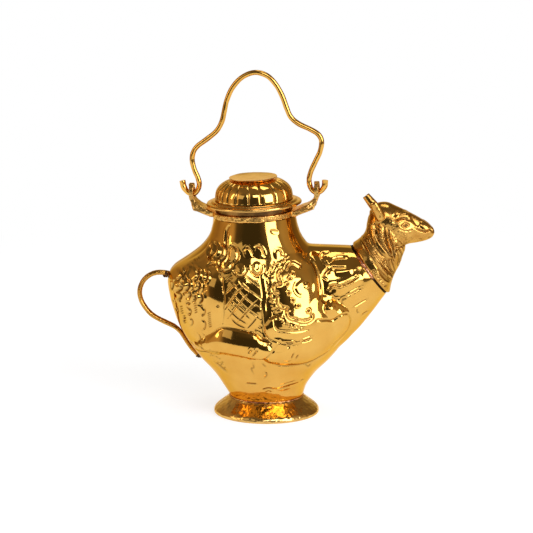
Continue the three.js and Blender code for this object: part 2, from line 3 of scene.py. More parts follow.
import bmesh
import bpy
import numpy as np
from mathutils import Matrix, Vector, noise


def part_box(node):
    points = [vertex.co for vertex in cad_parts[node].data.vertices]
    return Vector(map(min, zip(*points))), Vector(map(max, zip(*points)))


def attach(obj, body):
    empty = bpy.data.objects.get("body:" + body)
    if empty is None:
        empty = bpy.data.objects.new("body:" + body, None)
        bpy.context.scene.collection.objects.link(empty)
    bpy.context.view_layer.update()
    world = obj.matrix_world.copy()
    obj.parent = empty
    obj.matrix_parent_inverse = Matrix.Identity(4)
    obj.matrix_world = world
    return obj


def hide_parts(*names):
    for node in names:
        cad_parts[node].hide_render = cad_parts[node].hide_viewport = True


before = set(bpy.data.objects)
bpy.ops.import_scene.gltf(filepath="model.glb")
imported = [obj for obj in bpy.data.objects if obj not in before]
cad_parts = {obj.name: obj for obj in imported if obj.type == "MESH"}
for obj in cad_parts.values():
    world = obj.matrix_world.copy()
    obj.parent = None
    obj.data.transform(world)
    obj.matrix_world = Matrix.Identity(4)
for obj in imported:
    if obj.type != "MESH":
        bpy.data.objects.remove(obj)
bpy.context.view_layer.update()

# View of the pot.
# It is seen from its right-hand side, slightly from above, through a long lens.
foot_low, foot_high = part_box("foot_ring")
foot_axis = (foot_low.x + foot_high.x) / 2


def in_scene(name, data):
    """A new object in the scene"""
    thing = bpy.data.objects.new(name, data)
    bpy.context.scene.collection.objects.link(thing)
    return thing


def turned_to(thing, way):
    """Turns a camera or a lamp to look along a way"""
    thing.rotation_mode = "QUATERNION"
    thing.rotation_quaternion = way.to_track_quat("-Z", "Y")


camera_data = bpy.data.cameras.new("pot_camera")
camera_data.sensor_width = 36
camera_data.lens = 182.8
camera = in_scene("pot_camera", camera_data)
camera.location = (foot_axis, -1.850, 0.5085)
turned_to(camera, Vector((foot_axis, 0, 0.104)) - camera.location)
bpy.context.scene.camera = camera
bpy.context.scene.view_settings.view_transform = "Standard"

# Table and room.
# The pot stands on a white round table with white behind it. Dark walls on the camera's side, a warm
# wall on the left, a large soft box on the right, a smaller one over the camera and a dim one on the
# left show in the brass.


def cleared_nodes(owner):
    owner.use_nodes = True
    owner.node_tree.nodes.clear()
    return owner.node_tree.nodes, owner.node_tree.links


def new_material(name):
    material = bpy.data.materials.new(name)
    return material, *cleared_nodes(material)


def add_node(nodes, kind, inputs=(), **settings):
    """A shader node with its settings, and the values of inputs that nothing is linked to"""
    node = nodes.new("ShaderNode" + kind)
    for key, value in settings.items():
        setattr(node, key, value)
    for key, value in dict(inputs).items():
        node.inputs[key].default_value = value
    return node


def wire(links, *wires):
    """Links outputs to inputs, each wire a node, its output, the next node and its input"""
    for source, output, target, socket in wires:
        links.new(source.outputs[output], target.inputs[socket])


def background_seen(nodes, links):
    """1 where the white background shows: to the camera, in metal and through glass"""
    ray = add_node(nodes, "LightPath")
    seen = add_node(nodes, "Math", operation="MAXIMUM")
    shown = add_node(nodes, "Math", operation="MAXIMUM")
    wire(links, (ray, "Is Camera Ray", seen, 0), (ray, "Is Glossy Ray", seen, 1),
         (seen, "Value", shown, 0), (ray, "Is Transmission Ray", shown, 1))
    return shown


def mesh_from(form, name):
    """Makes a mesh of a bmesh, which is freed"""
    mesh = bpy.data.meshes.new(name)
    form.to_mesh(mesh)
    form.free()
    return mesh


table_radius = 0.95
table_drop = 0.00005
shadow_reach, shadow_end = 0.3, 0.65
table_material, nodes, links = new_material("white_table")
table_cloth = add_node(nodes, "BsdfDiffuse", {"Color": (0.9, 0.9, 0.9, 1)})
table_glow = add_node(nodes, "Emission", {"Strength": 0.66})
table_white = add_node(nodes, "Emission", {"Strength": 1})
table_where = add_node(nodes, "TexCoord")
table_away = add_node(nodes, "VectorMath", operation="LENGTH")
table_edge = add_node(nodes, "MapRange", {"From Min": shadow_reach, "From Max": shadow_end})
table_dim = add_node(nodes, "MixShader", {"Fac": 0.5})
table_sum = add_node(nodes, "AddShader")
table_far = add_node(nodes, "MixShader")
table_mix = add_node(nodes, "MixShader")
table_out = add_node(nodes, "OutputMaterial")
wire(links, (table_cloth, "BSDF", table_dim, 1), (table_dim, "Shader", table_sum, 0),
     (table_glow, "Emission", table_sum, 1), (table_where, "Object", table_away, 0),
     (table_away, "Value", table_edge, "Value"), (table_edge, "Result", table_far, "Fac"),
     (table_sum, "Shader", table_far, 1), (table_white, "Emission", table_far, 2),
     (background_seen(nodes, links), "Value", table_mix, "Fac"), (table_cloth, "BSDF", table_mix, 1),
     (table_far, "Shader", table_mix, 2), (table_mix, "Shader", table_out, "Surface"))

table_form = bmesh.new()
bmesh.ops.create_circle(table_form, cap_ends=True, segments=96, radius=table_radius)
bmesh.ops.translate(table_form, verts=table_form.verts, vec=(foot_axis, 0, -table_drop))
table_mesh = mesh_from(table_form, "white_table")
table_mesh.materials.append(table_material)
table = in_scene("white_table", table_mesh)

room = bpy.data.worlds.new("room")
bpy.context.scene.world = room
nodes, links = cleared_nodes(room)
room_shown = add_node(nodes, "Mix", {"A": (0.5, 0.5, 0.5, 1), "B": (1, 1, 1, 1)}, data_type="RGBA")
room_light = add_node(nodes, "Background")
room_out = add_node(nodes, "OutputWorld")
wire(links, (background_seen(nodes, links), "Value", room_shown, "Factor"),
     (room_shown, "Result", room_light, "Color"), (room_light, "Background", room_out, "Surface"))

# the walls' azimuths to the right of the camera, in degrees, their colours there, and the ceiling's
room_radius = 2.6
room_low = -0.7
wall_turns = [-180, -140, -110, -88, -62, -50, -30, 10, 24, 60, 78, 98, 112, 145, 180]
wall_colours = [
    (0.95, 0.92, 0.86), (0.42, 0.30, 0.18), (0.34, 0.22, 0.11), (0.55, 0.38, 0.20), (0.62, 0.45, 0.26),
    (0.10, 0.075, 0.05), (0.05, 0.045, 0.035), (0.05, 0.045, 0.035), (0.12, 0.10, 0.07),
    (0.22, 0.18, 0.12), (0.50, 0.40, 0.26), (0.50, 0.36, 0.20), (0.16, 0.10, 0.055),
    (0.24, 0.17, 0.10), (0.95, 0.92, 0.86)]
ceiling_colour = (0.17, 0.135, 0.09)
wall_form = bmesh.new()
bmesh.ops.create_uvsphere(wall_form, u_segments=120, v_segments=60, radius=room_radius)
bmesh.ops.delete(wall_form, geom=[vert for vert in wall_form.verts if vert.co.z < room_low],
                 context="VERTS")
wall_mesh = mesh_from(wall_form, "room_walls")
painted = []
for vert in wall_mesh.vertices:
    turn = math.degrees(math.atan2(vert.co.x, -vert.co.y))
    rise = math.degrees(math.asin(vert.co.z / room_radius))
    side = [np.interp(turn, wall_turns, shades) for shades in zip(*wall_colours)]
    front = 1 - np.interp(abs(turn), [120, 150], [0, 1])
    over = np.interp(rise, [22 + 6 * front, 38 + 24 * front], [0, 1])
    painted.append([side[k] * (1 - over) + ceiling_colour[k] * over for k in range(3)] + [1])
wall_mesh.attributes.new("wall", "FLOAT_COLOR", "POINT").data.foreach_set("color", np.ravel(painted))
wall_material, nodes, links = new_material("room_walls")
wall_paint = add_node(nodes, "Attribute", attribute_name="wall")
wall_light = add_node(nodes, "Emission")
wall_out = add_node(nodes, "OutputMaterial")
wire(links, (wall_paint, "Color", wall_light, "Color"), (wall_light, "Emission", wall_out, "Surface"))
wall_mesh.materials.append(wall_material)
walls = in_scene("room_walls", wall_mesh)
walls.visible_camera = walls.visible_diffuse = walls.visible_shadow = False


def soft_box(name, azimuth, elevation, distance, size, power, colour):
    """A rectangular lamp facing the pot. Azimuth is to the right of the camera, in degrees"""
    lamp_data = bpy.data.lights.new(name, "AREA")
    lamp_data.shape = "RECTANGLE"
    lamp_data.size, lamp_data.size_y = size
    lamp_data.energy = power
    lamp_data.color = colour
    turn, rise = math.radians(azimuth), math.radians(elevation)
    way = Vector((math.sin(turn) * math.cos(rise), -math.cos(turn) * math.cos(rise), math.sin(rise)))
    lamp = in_scene(name, lamp_data)
    lamp.location = Vector((foot_axis, 0, 0.1)) + way * distance
    turned_to(lamp, -way)
    lamp.visible_camera = False


soft_box("right_soft_box", 46, 21, 1.6, (0.9, 1.15), 18, (0.97, 1.0, 1.15))
soft_box("left_soft_box", -43, 27, 1.8, (0.7, 0.85), 1.1, (1.0, 0.95, 0.88))
soft_box("front_soft_box", 7, 38, 1.7, (0.6, 0.42), 4.2, (1.0, 1.0, 1.1))
soft_box("left_strip", -70, 24, 1.8, (0.22, 1.1), 3, (1.0, 0.86, 0.66))
soft_box("top_soft_box", 150, 76, 1.7, (0.8, 0.5), 4, (1.0, 0.98, 0.94))

# Foot ring.
# A trumpet of brass sheet, spun and planished, with a low upright rim and a flat top turned in.
# It is brazed to the stem of the body.


def worked_brass_group():
    """Clouded, tarnished, hammered and scratched brass: colour, roughness and normal"""
    group = bpy.data.node_groups.new("worked_brass", "ShaderNodeTree")
    for way, kind, names in (
        ("INPUT", "Color", ("Tone", "Clouded Tone", "Tarnished Tone")),
        ("INPUT", "Float", ("Tarnish", "Cloud Scale", "Polish", "Dullness", "Hammer Scale",
                            "Hammer Depth", "Grain Scale", "Grain Depth")),
        ("OUTPUT", "Color", ("Color",)),
        ("OUTPUT", "Float", ("Roughness",)),
        ("OUTPUT", "Vector", ("Normal",)),
    ):
        for name in names:
            group.interface.new_socket(name, in_out=way, socket_type="NodeSocket" + kind)
    nodes, links = group.nodes, group.links
    given, made = nodes.new("NodeGroupInput"), nodes.new("NodeGroupOutput")
    where = add_node(nodes, "TexCoord")
    clouds = add_node(nodes, "TexNoise", {"Detail": 5, "Roughness": 0.6})
    cloud_edge = add_node(nodes, "MapRange", {"From Min": 0.38, "From Max": 0.66})
    hammer = add_node(nodes, "TexNoise", {"Detail": 1.5})
    grain = add_node(nodes, "TexNoise", {"Detail": 4})
    clouded = add_node(nodes, "Mix", data_type="RGBA")
    tarnished = add_node(nodes, "Mix", data_type="RGBA")
    fleck = add_node(nodes, "Math", {1: 0.9, 2: 0.5}, operation="MULTIPLY_ADD")
    mask = add_node(nodes, "Math", operation="MULTIPLY", use_clamp=True)
    cloud_dull = add_node(nodes, "Math", operation="MULTIPLY_ADD")
    mask_dull = add_node(nodes, "Math", {1: 0.4}, operation="MULTIPLY_ADD")
    hammer_bump, grain_bump = add_node(nodes, "Bump"), add_node(nodes, "Bump")
    for texture, scale in ((clouds, "Cloud Scale"), (hammer, "Hammer Scale"), (grain, "Grain Scale")):
        wire(links, (where, "Object", texture, "Vector"), (given, scale, texture, "Scale"))
    wire(links, (clouds, "Fac", cloud_edge, "Value"), (cloud_edge, "Result", clouded, "Factor"),
         (given, "Tone", clouded, "A"), (given, "Clouded Tone", clouded, "B"),
         (grain, "Fac", fleck, 0), (fleck, "Value", mask, 0), (given, "Tarnish", mask, 1),
         (mask, "Value", tarnished, "Factor"), (clouded, "Result", tarnished, "A"),
         (given, "Tarnished Tone", tarnished, "B"), (cloud_edge, "Result", cloud_dull, 0),
         (given, "Dullness", cloud_dull, 1), (given, "Polish", cloud_dull, 2),
         (mask, "Value", mask_dull, 0), (cloud_dull, "Value", mask_dull, 2),
         (hammer, "Fac", hammer_bump, "Height"), (given, "Hammer Depth", hammer_bump, "Distance"),
         (grain, "Fac", grain_bump, "Height"), (given, "Grain Depth", grain_bump, "Distance"),
         (hammer_bump, "Normal", grain_bump, "Normal"), (tarnished, "Result", made, "Color"),
         (mask_dull, "Value", made, "Roughness"), (grain_bump, "Normal", made, "Normal"))
    return group


worked_brass = worked_brass_group()
polished_tone = (0.75, 0.425, 0.093)
warm_tone = (0.69, 0.36, 0.068)
tarnish_tone = (0.10, 0.045, 0.012)


def brass(name, tone=polished_tone, clouded=warm_tone, tarnished=tarnish_tone, cloud_size=22,
          polish=0.07, dullness=0.05, hammer_size=9, hammer_depth=0.05, grain_size=0.8,
          grain_depth=0.004):
    """Brass finish. Sizes and depths are in millimetres; the tarnish mask comes with the piece, and on
    the body and the head seam it also carries painted shade
    """
    material, nodes, links = new_material(name)
    finish = nodes.new("ShaderNodeGroup")
    finish.node_tree = worked_brass
    for key, value in {
        "Tone": (*tone, 1),
        "Clouded Tone": (*clouded, 1),
        "Tarnished Tone": (*tarnished, 1),
        "Cloud Scale": 1000 / cloud_size,
        "Polish": polish,
        "Dullness": dullness,
        "Hammer Scale": 1000 / hammer_size,
        "Hammer Depth": hammer_depth / 1000,
        "Grain Scale": 1000 / grain_size,
        "Grain Depth": grain_depth / 1000,
    }.items():
        finish.inputs[key].default_value = value
    mask = add_node(nodes, "Attribute", attribute_name="tarnish")
    metal = add_node(nodes, "BsdfPrincipled", {"Metallic": 1, "Specular Tint": (1.0, 0.78, 0.42, 1)})
    out = add_node(nodes, "OutputMaterial")
    wire(links, (mask, "Fac", finish, "Tarnish"), (finish, "Color", metal, "Base Color"),
         (finish, "Roughness", metal, "Roughness"), (finish, "Normal", metal, "Normal"),
         (metal, "BSDF", out, "Surface"))
    return material


def spline(values, t):
    """Smooth values at t, from 0 to 1, through evenly spaced ones"""
    values = np.asarray(values, float)
    last = len(values) - 1
    run = np.concatenate([[2 * values[0] - values[1]], values, [2 * values[-1] - values[-2]]])
    at = np.clip(np.floor(np.asarray(t) * last).astype(int), 0, last - 1)
    u = np.asarray(t) * last - at
    before, start, end, after = run[at], run[at + 1], run[at + 2], run[at + 3]
    bend = 2 * before - 5 * start + 4 * end - after
    twist = 3 * (start - end) + after - before
    return start + 0.5 * u * (end - before + u * (bend + u * twist))


def through(points, steps=8):
    """A smooth line through the points"""
    points = np.asarray(points, float)
    t = np.linspace(0, 1, (len(points) - 1) * steps + 1)
    return np.stack([spline(points[:, k], t) for k in range(points.shape[1])], axis=1)


def turned_round(form, line, steps, closed=False):
    """Joins the points into a line and turns it about Z"""
    corners = [form.verts.new(point) for point in line]
    for start, end in zip(corners, corners[1:] + corners[:1] if closed else corners[1:]):
        form.edges.new((start, end))
    bmesh.ops.spin(form, geom=form.verts[:] + form.edges[:], cent=(0, 0, 0), axis=(0, 0, 1),
                   angle=math.tau, steps=steps, use_merge=True, use_duplicate=False)


def spun(outline, steps):
    """Turns a closed outline of radius and height about Z"""
    form = bmesh.new()
    turned_round(form, [(radius, 0, height) for radius, height in outline], steps, closed=True)
    bmesh.ops.remove_doubles(form, verts=form.verts, dist=0.0005)
    bmesh.ops.recalc_face_normals(form, faces=form.faces)
    return form


def noise_start(seed):
    return Vector((seed * 17.3, seed * 5.1, seed * 9.7))


millimetres = Matrix.Scale(0.001, 4)
pot_frame = Matrix.Translation((foot_axis * 1000, 0, 0))


def add_piece(name, shape, finish, body, node, place=pot_frame, crease=40):
    """Shows a bmesh or a mesh, in millimetres in the frame of its place, as a piece of the pot"""
    shape.transform(millimetres @ place)
    mesh = mesh_from(shape, name) if isinstance(shape, bmesh.types.BMesh) else shape
    mesh.update()
    mesh.shade_smooth()
    mesh.set_sharp_from_angle(angle=math.radians(crease))
    mesh.materials.clear()
    mesh.materials.append(finish)
    piece = in_scene(name, mesh)
    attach(piece, body)
    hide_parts(node)


foot_finish = brass("foot_brass", tone=(0.84, 0.53, 0.17), clouded=(0.62, 0.36, 0.10), cloud_size=12,
                    polish=0.15, dullness=0.08, hammer_size=4.5, hammer_depth=0.8, grain_size=0.9,
                    grain_depth=0.016)
foot_rim_top = 1.9
foot_outside = through([(37.0, 0.3), (37.0, 1.5), (36.75, 2.3), (36.1, 3.35), (34.9, 4.5), (33.1, 5.9),
                        (30.6, 7.85), (28.3, 9.6), (26.9, 10.9), (26.3, 11.6)], 4)
foot_inside = [(24, 11.6), (19.9, 11.6), (19.9, 10.4), (25.0, 10.3), (27.0, 8.9), (31.0, 5.5),
               (33.4, 3.4), (34.4, 1.8), (34.4, 0.2), (34.6, 0), (35.7, 0), (36.8, 0)]
foot_form = spun([*map(tuple, foot_outside), *foot_inside], 180)
for vert in foot_form.verts:
    if vert.co.z > foot_rim_top:
        worn = noise.noise(vert.co / 6.5) * 0.16 + noise.noise(vert.co / 2.2) * 0.05
        vert.co += Vector((vert.co.x, vert.co.y, 0)).normalized() * min(worn, 0.05)
add_piece("foot_ring_spun", foot_form, foot_finish, "pot", "foot_ring")

# Braze between foot and body.
# Copper-rich filler that ran round the joint and stands a little proud in places.
copper_finish = brass("copper_braze", tone=(0.66, 0.37, 0.10), clouded=(0.52, 0.22, 0.11), cloud_size=16,
                      polish=0.24, dullness=0.12, hammer_size=1.5, hammer_depth=0.12, grain_depth=0.03)


def filler_bead(radius, height, thick):
    """A thin bead of filler round Z"""
    return spun([(radius + thick * math.cos(a), height + thick * math.sin(a))
                 for a in np.linspace(0, math.tau, 10, endpoint=False)], 260)


foot_bead = filler_bead(25.75, 12.15, 0.5)
foot_bead.normal_update()
for vert in foot_bead.verts:
    vert.co += vert.normal * (noise.noise(vert.co / 2.2 + noise_start(1)) * 0.42)
add_piece("foot_braze_bead", foot_bead, copper_finish, "pot", "foot_braze")

# Body of the cow, two halves.
# Each half is a sheet of brass raised from behind and chased from the front, and the two are
# brazed edge to edge along the middle line, with the neck drawn out of the same sheets.
stem_rise = 12.8
mouth_height = 140.9
mouth_offset = -8.6
mouth_tilt = math.radians(-2.2)
throat_overrun = 8
body_rows = {
    "rise": [stem_rise, 21, 31, 41, 52, 66, 82, 96, 104.5, 112.5, 121, 131,
             mouth_height + throat_overrun],
    "back": [26, 31.0, 37.8, 46.9, 55.2, 62.6, 67.5, 69.2, 65.2, 53.8, 43.8, 38.3, 36.2],
    "front": [26, 28.8, 36.2, 46.5, 54.0, 58.0, 57.0, 52.0, 44.5, 35.8, 28.4, 22.7, 19.0],
    "side": [26, 30.0, 35.0, 40.5, 43.5, 44.5, 44.0, 41.5, 38.8, 35.4, 32.2, 29.9, 27.6],
}
seam_centre = Vector((71.25, 0, 102))
seam_angle = math.radians(36.9)
seam_radius = 21
seam_up = Vector((-math.sin(seam_angle), 0, math.cos(seam_angle))) * seam_radius
seam_way = Vector((math.cos(seam_angle), 0, math.sin(seam_angle)))
neck_chords = {
    "top": [(14, 120.6), (37, 119.7), (seam_centre.x + seam_up.x, seam_centre.z + seam_up.z)],
    "bottom": [(45, 40), (65.5, 61.4), (seam_centre.x - seam_up.x, seam_centre.z - seam_up.z)],
    "wide": [30, 27, seam_radius],
}


def formed(sides, steps, shape, low=0.0, high=1.0):
    """A closed tube whose points go where shape says, from their place on a unit tube"""
    form = bmesh.new()
    turned_round(form, [(1, 0, t) for t in np.linspace(low, high, steps + 1)], sides)
    bmesh.ops.holes_fill(form, edges=[edge for edge in form.edges if edge.is_boundary], sides=0)
    tube = np.array([vert.co for vert in form.verts])
    for vert, place in zip(form.verts, shape(tube[:, 0], tube[:, 1], tube[:, 2])):
        vert.co = place
    bmesh.ops.recalc_face_normals(form, faces=form.faces)
    return form


def chord_shape(chords, centre=(0, 0)):
    """Oval sections between a top and a bottom line of the side view"""
    def shape(along, across, t):
        top, bottom = (np.stack([spline([point[k] for point in chords[line]], t) for k in (0, 1)])
                       for line in ("top", "bottom"))
        middle, arm = (top + bottom) / 2, (top - bottom) / 2
        wide = spline(chords["wide"], t)
        return np.stack([centre[0] + middle[0] + arm[0] * along, wide * across,
                         centre[1] + middle[1] + arm[1] * along], axis=1)
    return shape


def vessel_shape(along, across, t):
    row = {key: spline(values, t) for key, values in body_rows.items()}
    return np.stack([(row["front"] - row["back"]) / 2 + (row["front"] + row["back"]) / 2 * along,
                     row["side"] * across, row["rise"]], axis=1)


def form_from(mesh):
    form = bmesh.new()
    form.from_mesh(mesh)
    return form


def joined(*forms):
    """Several closed forms in one bmesh"""
    whole = bmesh.new()
    for form in forms:
        part = mesh_from(form, "part")
        whole.from_mesh(part)
        bpy.data.meshes.remove(part)
    return whole


def fused(form, voxel):
    """One even skin round overlapping closed forms"""
    rough = mesh_from(form, "rough")
    holder = in_scene("rough", rough)
    remesh = holder.modifiers.new("remesh", "REMESH")
    remesh.mode = "VOXEL"
    remesh.voxel_size = voxel
    even = bpy.data.meshes.new_from_object(holder.evaluated_get(bpy.context.evaluated_depsgraph_get()))
    bpy.data.objects.remove(holder)
    bpy.data.meshes.remove(rough)
    return even


def per_point(mesh, quality):
    """The places or the normals of a mesh's points"""
    values = np.empty(len(mesh.vertices) * 3)
    mesh.vertices.foreach_get(quality, values)
    return values.reshape(-1, 3)


def points_of(mesh):
    return per_point(mesh, "co")


def normals_of(mesh):
    return per_point(mesh, "normal")


def set_points(mesh, points):
    mesh.vertices.foreach_set("co", points.ravel())
    mesh.update()


def set_tarnish(mesh, values):
    mesh.attributes.new("tarnish", "FLOAT", "POINT").data.foreach_set("value", np.clip(values, 0, 1))


def relaxed(mesh, rounds, spring=0.0):
    """Smooths a skin; spring pushes back after each round so that thin forms keep their size"""
    points = points_of(mesh)
    ends = np.empty(len(mesh.edges) * 2, int)
    mesh.edges.foreach_get("vertices", ends)
    one, other = ends.reshape(-1, 2).T
    count = len(points)
    share = (np.bincount(one, minlength=count) + np.bincount(other, minlength=count))[:, None]
    for step in range(rounds * (2 if spring else 1)):
        total = np.stack([np.bincount(one, points[other, k], count)
                          + np.bincount(other, points[one, k], count) for k in range(3)], axis=1)
        points += (0.5 if not spring or step % 2 == 0 else -spring) * (total / share - points)
    set_points(mesh, points)
    return mesh


def smoothstep(value, low, high):
    t = np.clip((value - low) / (high - low), 0, 1)
    return t * t * (3 - 2 * t)


class Relief:
    """Raised and chased work in the side view: height and tarnish over x and z, in millimetres"""

    def __init__(self, low, high, cell=0.2):
        self.low, self.cell = np.array(low, float), cell
        self.x = np.arange(low[0], high[0], cell)
        self.z = np.arange(low[1], high[1], cell)
        self.height = np.zeros((len(self.z), len(self.x)))
        self.tarnish = np.zeros_like(self.height)

    def detail(self, reach=2, spread=3):
        """How sharply the relief bends near each cell"""
        around = sum(np.roll(self.height, step, axis) for step in (-reach, reach) for axis in (0, 1))
        bend = np.abs(around - 4 * self.height)
        for axis in (0, 1):
            bend = np.max([np.roll(bend, step, axis) for step in range(-spread, spread + 1)], axis=0)
        return bend / (reach * self.cell) ** 2

    def near(self, line, reach):
        """The window round a line, the distance to it, the place along it and the height over it"""
        first = np.clip(((line.min(0) - reach - self.low) / self.cell).astype(int), 0, None)
        last = ((line.max(0) + reach - self.low) / self.cell).astype(int) + 1
        window = (slice(first[1], last[1]), slice(first[0], last[0]))
        x, z = np.meshgrid(self.x[window[1]], self.z[window[0]])
        away, place, over = np.full(x.shape, 1e9), np.zeros(x.shape), np.zeros(x.shape)
        for i, (start, end) in enumerate(zip(line[:-1], line[1:])):
            run = end - start
            t = np.clip(((x - start[0]) * run[0] + (z - start[1]) * run[1]) / max(run @ run, 1e-9), 0, 1)
            reach_here = np.hypot(x - start[0] - t * run[0], z - start[1] - t * run[1])
            closer = reach_here < away
            away = np.where(closer, reach_here, away)
            place = np.where(closer, (i + t) / (len(line) - 1), place)
            over = np.where(closer, z - start[1] - t * run[1], over)
        return window, away, place, over

    def ridge(self, points, height, width):
        """A line raised from behind, or sunk where its height is negative"""
        window, away, place, _ = self.near(through(points), width * 3)
        ends = np.clip(np.minimum(place, 1 - place) * 6, 0.25, 1)
        self.height[window] += height * ends * np.exp(-(away / width) ** 2)

    def groove(self, points, depth, width, dark=0.9, smooth=True):
        """A line sunk with a tracer, with a low burr on both sides"""
        line = through(points) if smooth else np.asarray(points, float)
        window, away, place, _ = self.near(line, width * 4)
        ends = np.clip(np.minimum(place, 1 - place) * 5, 0.3, 1)
        burr = 0.32 * np.exp(-((away - 1.9 * width) / (0.8 * width)) ** 2)
        self.height[window] += depth * ends * (burr - np.exp(-(away / width) ** 2))
        self.tarnish[window] = np.maximum(self.tarnish[window],
                                          dark * ends * np.exp(-(away / (0.8 * width)) ** 2))

    def welt(self, points, height, width, depth):
        """A raised line with a groove along both sides"""
        window, away, _, _ = self.near(through(points), width * 4)
        self.height[window] += height * np.exp(-(away / width) ** 2)
        self.height[window] -= depth * np.exp(-((away - 2.0 * width) / (0.7 * width)) ** 2)
        dark = 0.75 * np.exp(-((away - 2.0 * width) / (0.6 * width)) ** 2)
        self.tarnish[window] = np.maximum(self.tarnish[window], dark)

    def swell(self, centre, size, height, turn=0.0, edge=1.0):
        """A round or oval pad raised from behind"""
        centre = np.array([centre], float)
        window, _, _, _ = self.near(np.repeat(centre, 2, axis=0), max(size) * 1.6)
        x, z = np.meshgrid(self.x[window[1]] - centre[0, 0], self.z[window[0]] - centre[0, 1])
        a = math.radians(turn)
        along, across = x * math.cos(a) + z * math.sin(a), z * math.cos(a) - x * math.sin(a)
        away = np.hypot(along / size[0], across / size[1])
        self.height[window] += height * np.clip(1 - away ** 2, 0, 1) ** edge

    def limb(self, points, above, height, below=None, edge=0.6):
        """A folded leg: a round back along a line, with a crisp border above and below it. The lower
        edge is, the flatter the back and the crisper the border; it may change along the line"""
        window, away, place, over = self.near(through(points), max(above) * 1.1)
        upper, lower = spline(above, place), spline(below or above, place)
        radius = lower + (upper - lower) * (0.5 + 0.5 * over / np.maximum(away, 0.01))
        flatness = spline(edge, place) if np.ndim(edge) else edge
        back = height * np.clip(1 - (away / radius) ** 2, 0, 1) ** flatness
        self.height[window] = np.maximum(self.height[window], back)

    def dot(self, centre, radius, depth, rim=0.0, dark=1.0):
        """A punched dot, with a raised rim where it has one"""
        line = np.repeat(np.array([centre], float), 2, axis=0)
        window, away, _, _ = self.near(line, radius * 3)
        self.height[window] -= depth * np.exp(-(away / radius) ** 2)
        self.height[window] += rim * np.exp(-((away - 1.8 * radius) / (0.6 * radius)) ** 2)
        self.tarnish[window] = np.maximum(self.tarnish[window], dark * np.exp(-(away / radius) ** 2))

    def grains(self, points, spread, pitch, height, seed, radius=0.5):
        """Matting punched beside a line: scattered low grains with dark between them"""
        line = through(points)
        random = np.random.default_rng(seed)
        length = np.linalg.norm(np.diff(line, axis=0), axis=1).sum()
        for _ in range(int(2 * spread * length / pitch ** 2)):
            place = line[random.integers(0, len(line))] + random.uniform(-spread, spread, 2)
            self.dot(place, radius * random.uniform(0.8, 1.2), height * random.uniform(-1.2, 0.9), 0.0,
                     random.uniform(0.2, 0.8))

    def at(self, layer, x, z):
        """Values of a layer at the points, between its cells"""
        column = np.clip((x - self.low[0]) / self.cell, 0, len(self.x) - 1.001)
        row = np.clip((z - self.low[1]) / self.cell, 0, len(self.z) - 1.001)
        i, j = column.astype(int), row.astype(int)
        u, v = column - i, row - j
        return ((layer[j, i] * (1 - u) + layer[j, i + 1] * u) * (1 - v)
                + (layer[j + 1, i] * (1 - u) + layer[j + 1, i + 1] * u) * v)


def moved(line, across, up):
    return [(x + across, z + up) for x, z in line]


flank_window = (-84, 6), (104, 150)
flank = Relief(*flank_window)

# folded legs, knee, saddle pad, haunch and the panels between them, raised from behind
flank.limb([(-49, 52.8), (-39, 53.2), (-29, 53.8), (-18, 53.0), (-8, 51.8), (-1.5, 52.0)],
           [3.0, 10.5, 16.2, 16.0, 14.6, 9.5], 5.6, [2.5, 3.6, 3.6, 3.8, 4.2, 4.4],
           edge=[1, 1, 1, 0.8, 0.5, 0.4])
flank.limb([(45, 81), (50, 74), (49.5, 67), (42, 59.5), (28, 54.0), (14, 51.5), (4, 51.0)],
           [5.5, 8.0, 9.2, 10.2, 10.0, 9.0, 6.5], 4.2, [5.5, 8.0, 9.0, 9.8, 10.4, 8.6, 6.5], edge=0.7)
flank.swell((20.0, 94), (18.5, 24.5), 2.4, 8, 0.7)
flank.swell((39.0, 82.5), (8.5, 8.0), 2.4, 0, 0.8)
flank.swell((-37, 90), (7.5, 17), 1.2, 0)
flank.swell((-53, 86), (12, 25), 1.0, 12)
flank.swell((-15, 89), (13.5, 21), 1.2, 0)
cloth = Relief(*flank_window)
cloth.limb([(44, 66), (37, 62), (28, 60), (16, 59), (8, 58)], [8, 13, 14.5, 13.5, 10], 3.7,
           [6, 7, 7, 6, 5], edge=0.35)
cloth.limb([(44, 72), (36, 72), (27, 71), (16, 70), (8, 69)], [8, 13, 15, 14, 10], 3.5,
           [9, 12, 12, 12, 9], edge=0.35)
# cloth and legs run softly into each other where they meet
raised = np.maximum(flank.height, cloth.height)
soft = raised
for _ in range(8):
    soft = sum(np.roll(soft, step, axis) for step in (-7, 7) for axis in (0, 1)) / 4
meeting_across = smoothstep(flank.x, -12, 2) * smoothstep(-flank.x, -52, -44)
meeting_up = smoothstep(flank.z, 52, 58) * smoothstep(-flank.z, -82, -74)
raised += meeting_across[None, :] * meeting_up[:, None] * (np.maximum(soft, raised) - raised)
flank.height[:] = 0

hind_under = [(-52.8, 54.5), (-48.7, 52.0), (-43.1, 50.6), (-34.1, 51.5), (-27.1, 51.4), (-18.3, 50.1),
              (-10.4, 48.5), (-5.5, 47.6), (-2.0, 48.4), (3.4, 53.6), (9.3, 61.8)]
hind_crease = [(-41.7, 59.3), (-37.4, 64.2), (-33.5, 68.3), (-29.7, 70.0), (-24.3, 69.8), (-15.2, 68.6),
               (-6.8, 66.7), (-2.2, 63.1), (2.3, 60.5)]
fore_under = [(0.4, 46.1), (5.4, 43.8), (11.3, 42.6), (18.2, 42.0), (24.2, 42.0), (29.1, 42.6),
              (35.1, 45.0), (43.1, 49.4), (49.2, 55.8)]
fore_outside = [(53.6, 78.4), (57.2, 74.7), (58.6, 69.3), (56.6, 63.1), (51.6, 57.7), (46.0, 53.9),
                (43.0, 50.6)]
knee_fold = [(34.9, 74.4), (41.1, 73.8), (45.8, 72.9), (51.2, 76.3), (55.2, 76.7)]
flank.groove(hind_under, 0.6, 0.7, 0.6)
flank.groove(hind_crease, 0.35, 0.8, 0.3)
flank.groove(fore_under, 0.5, 0.7, 0.45)
flank.groove(fore_outside, 0.35, 0.7, 0.3)
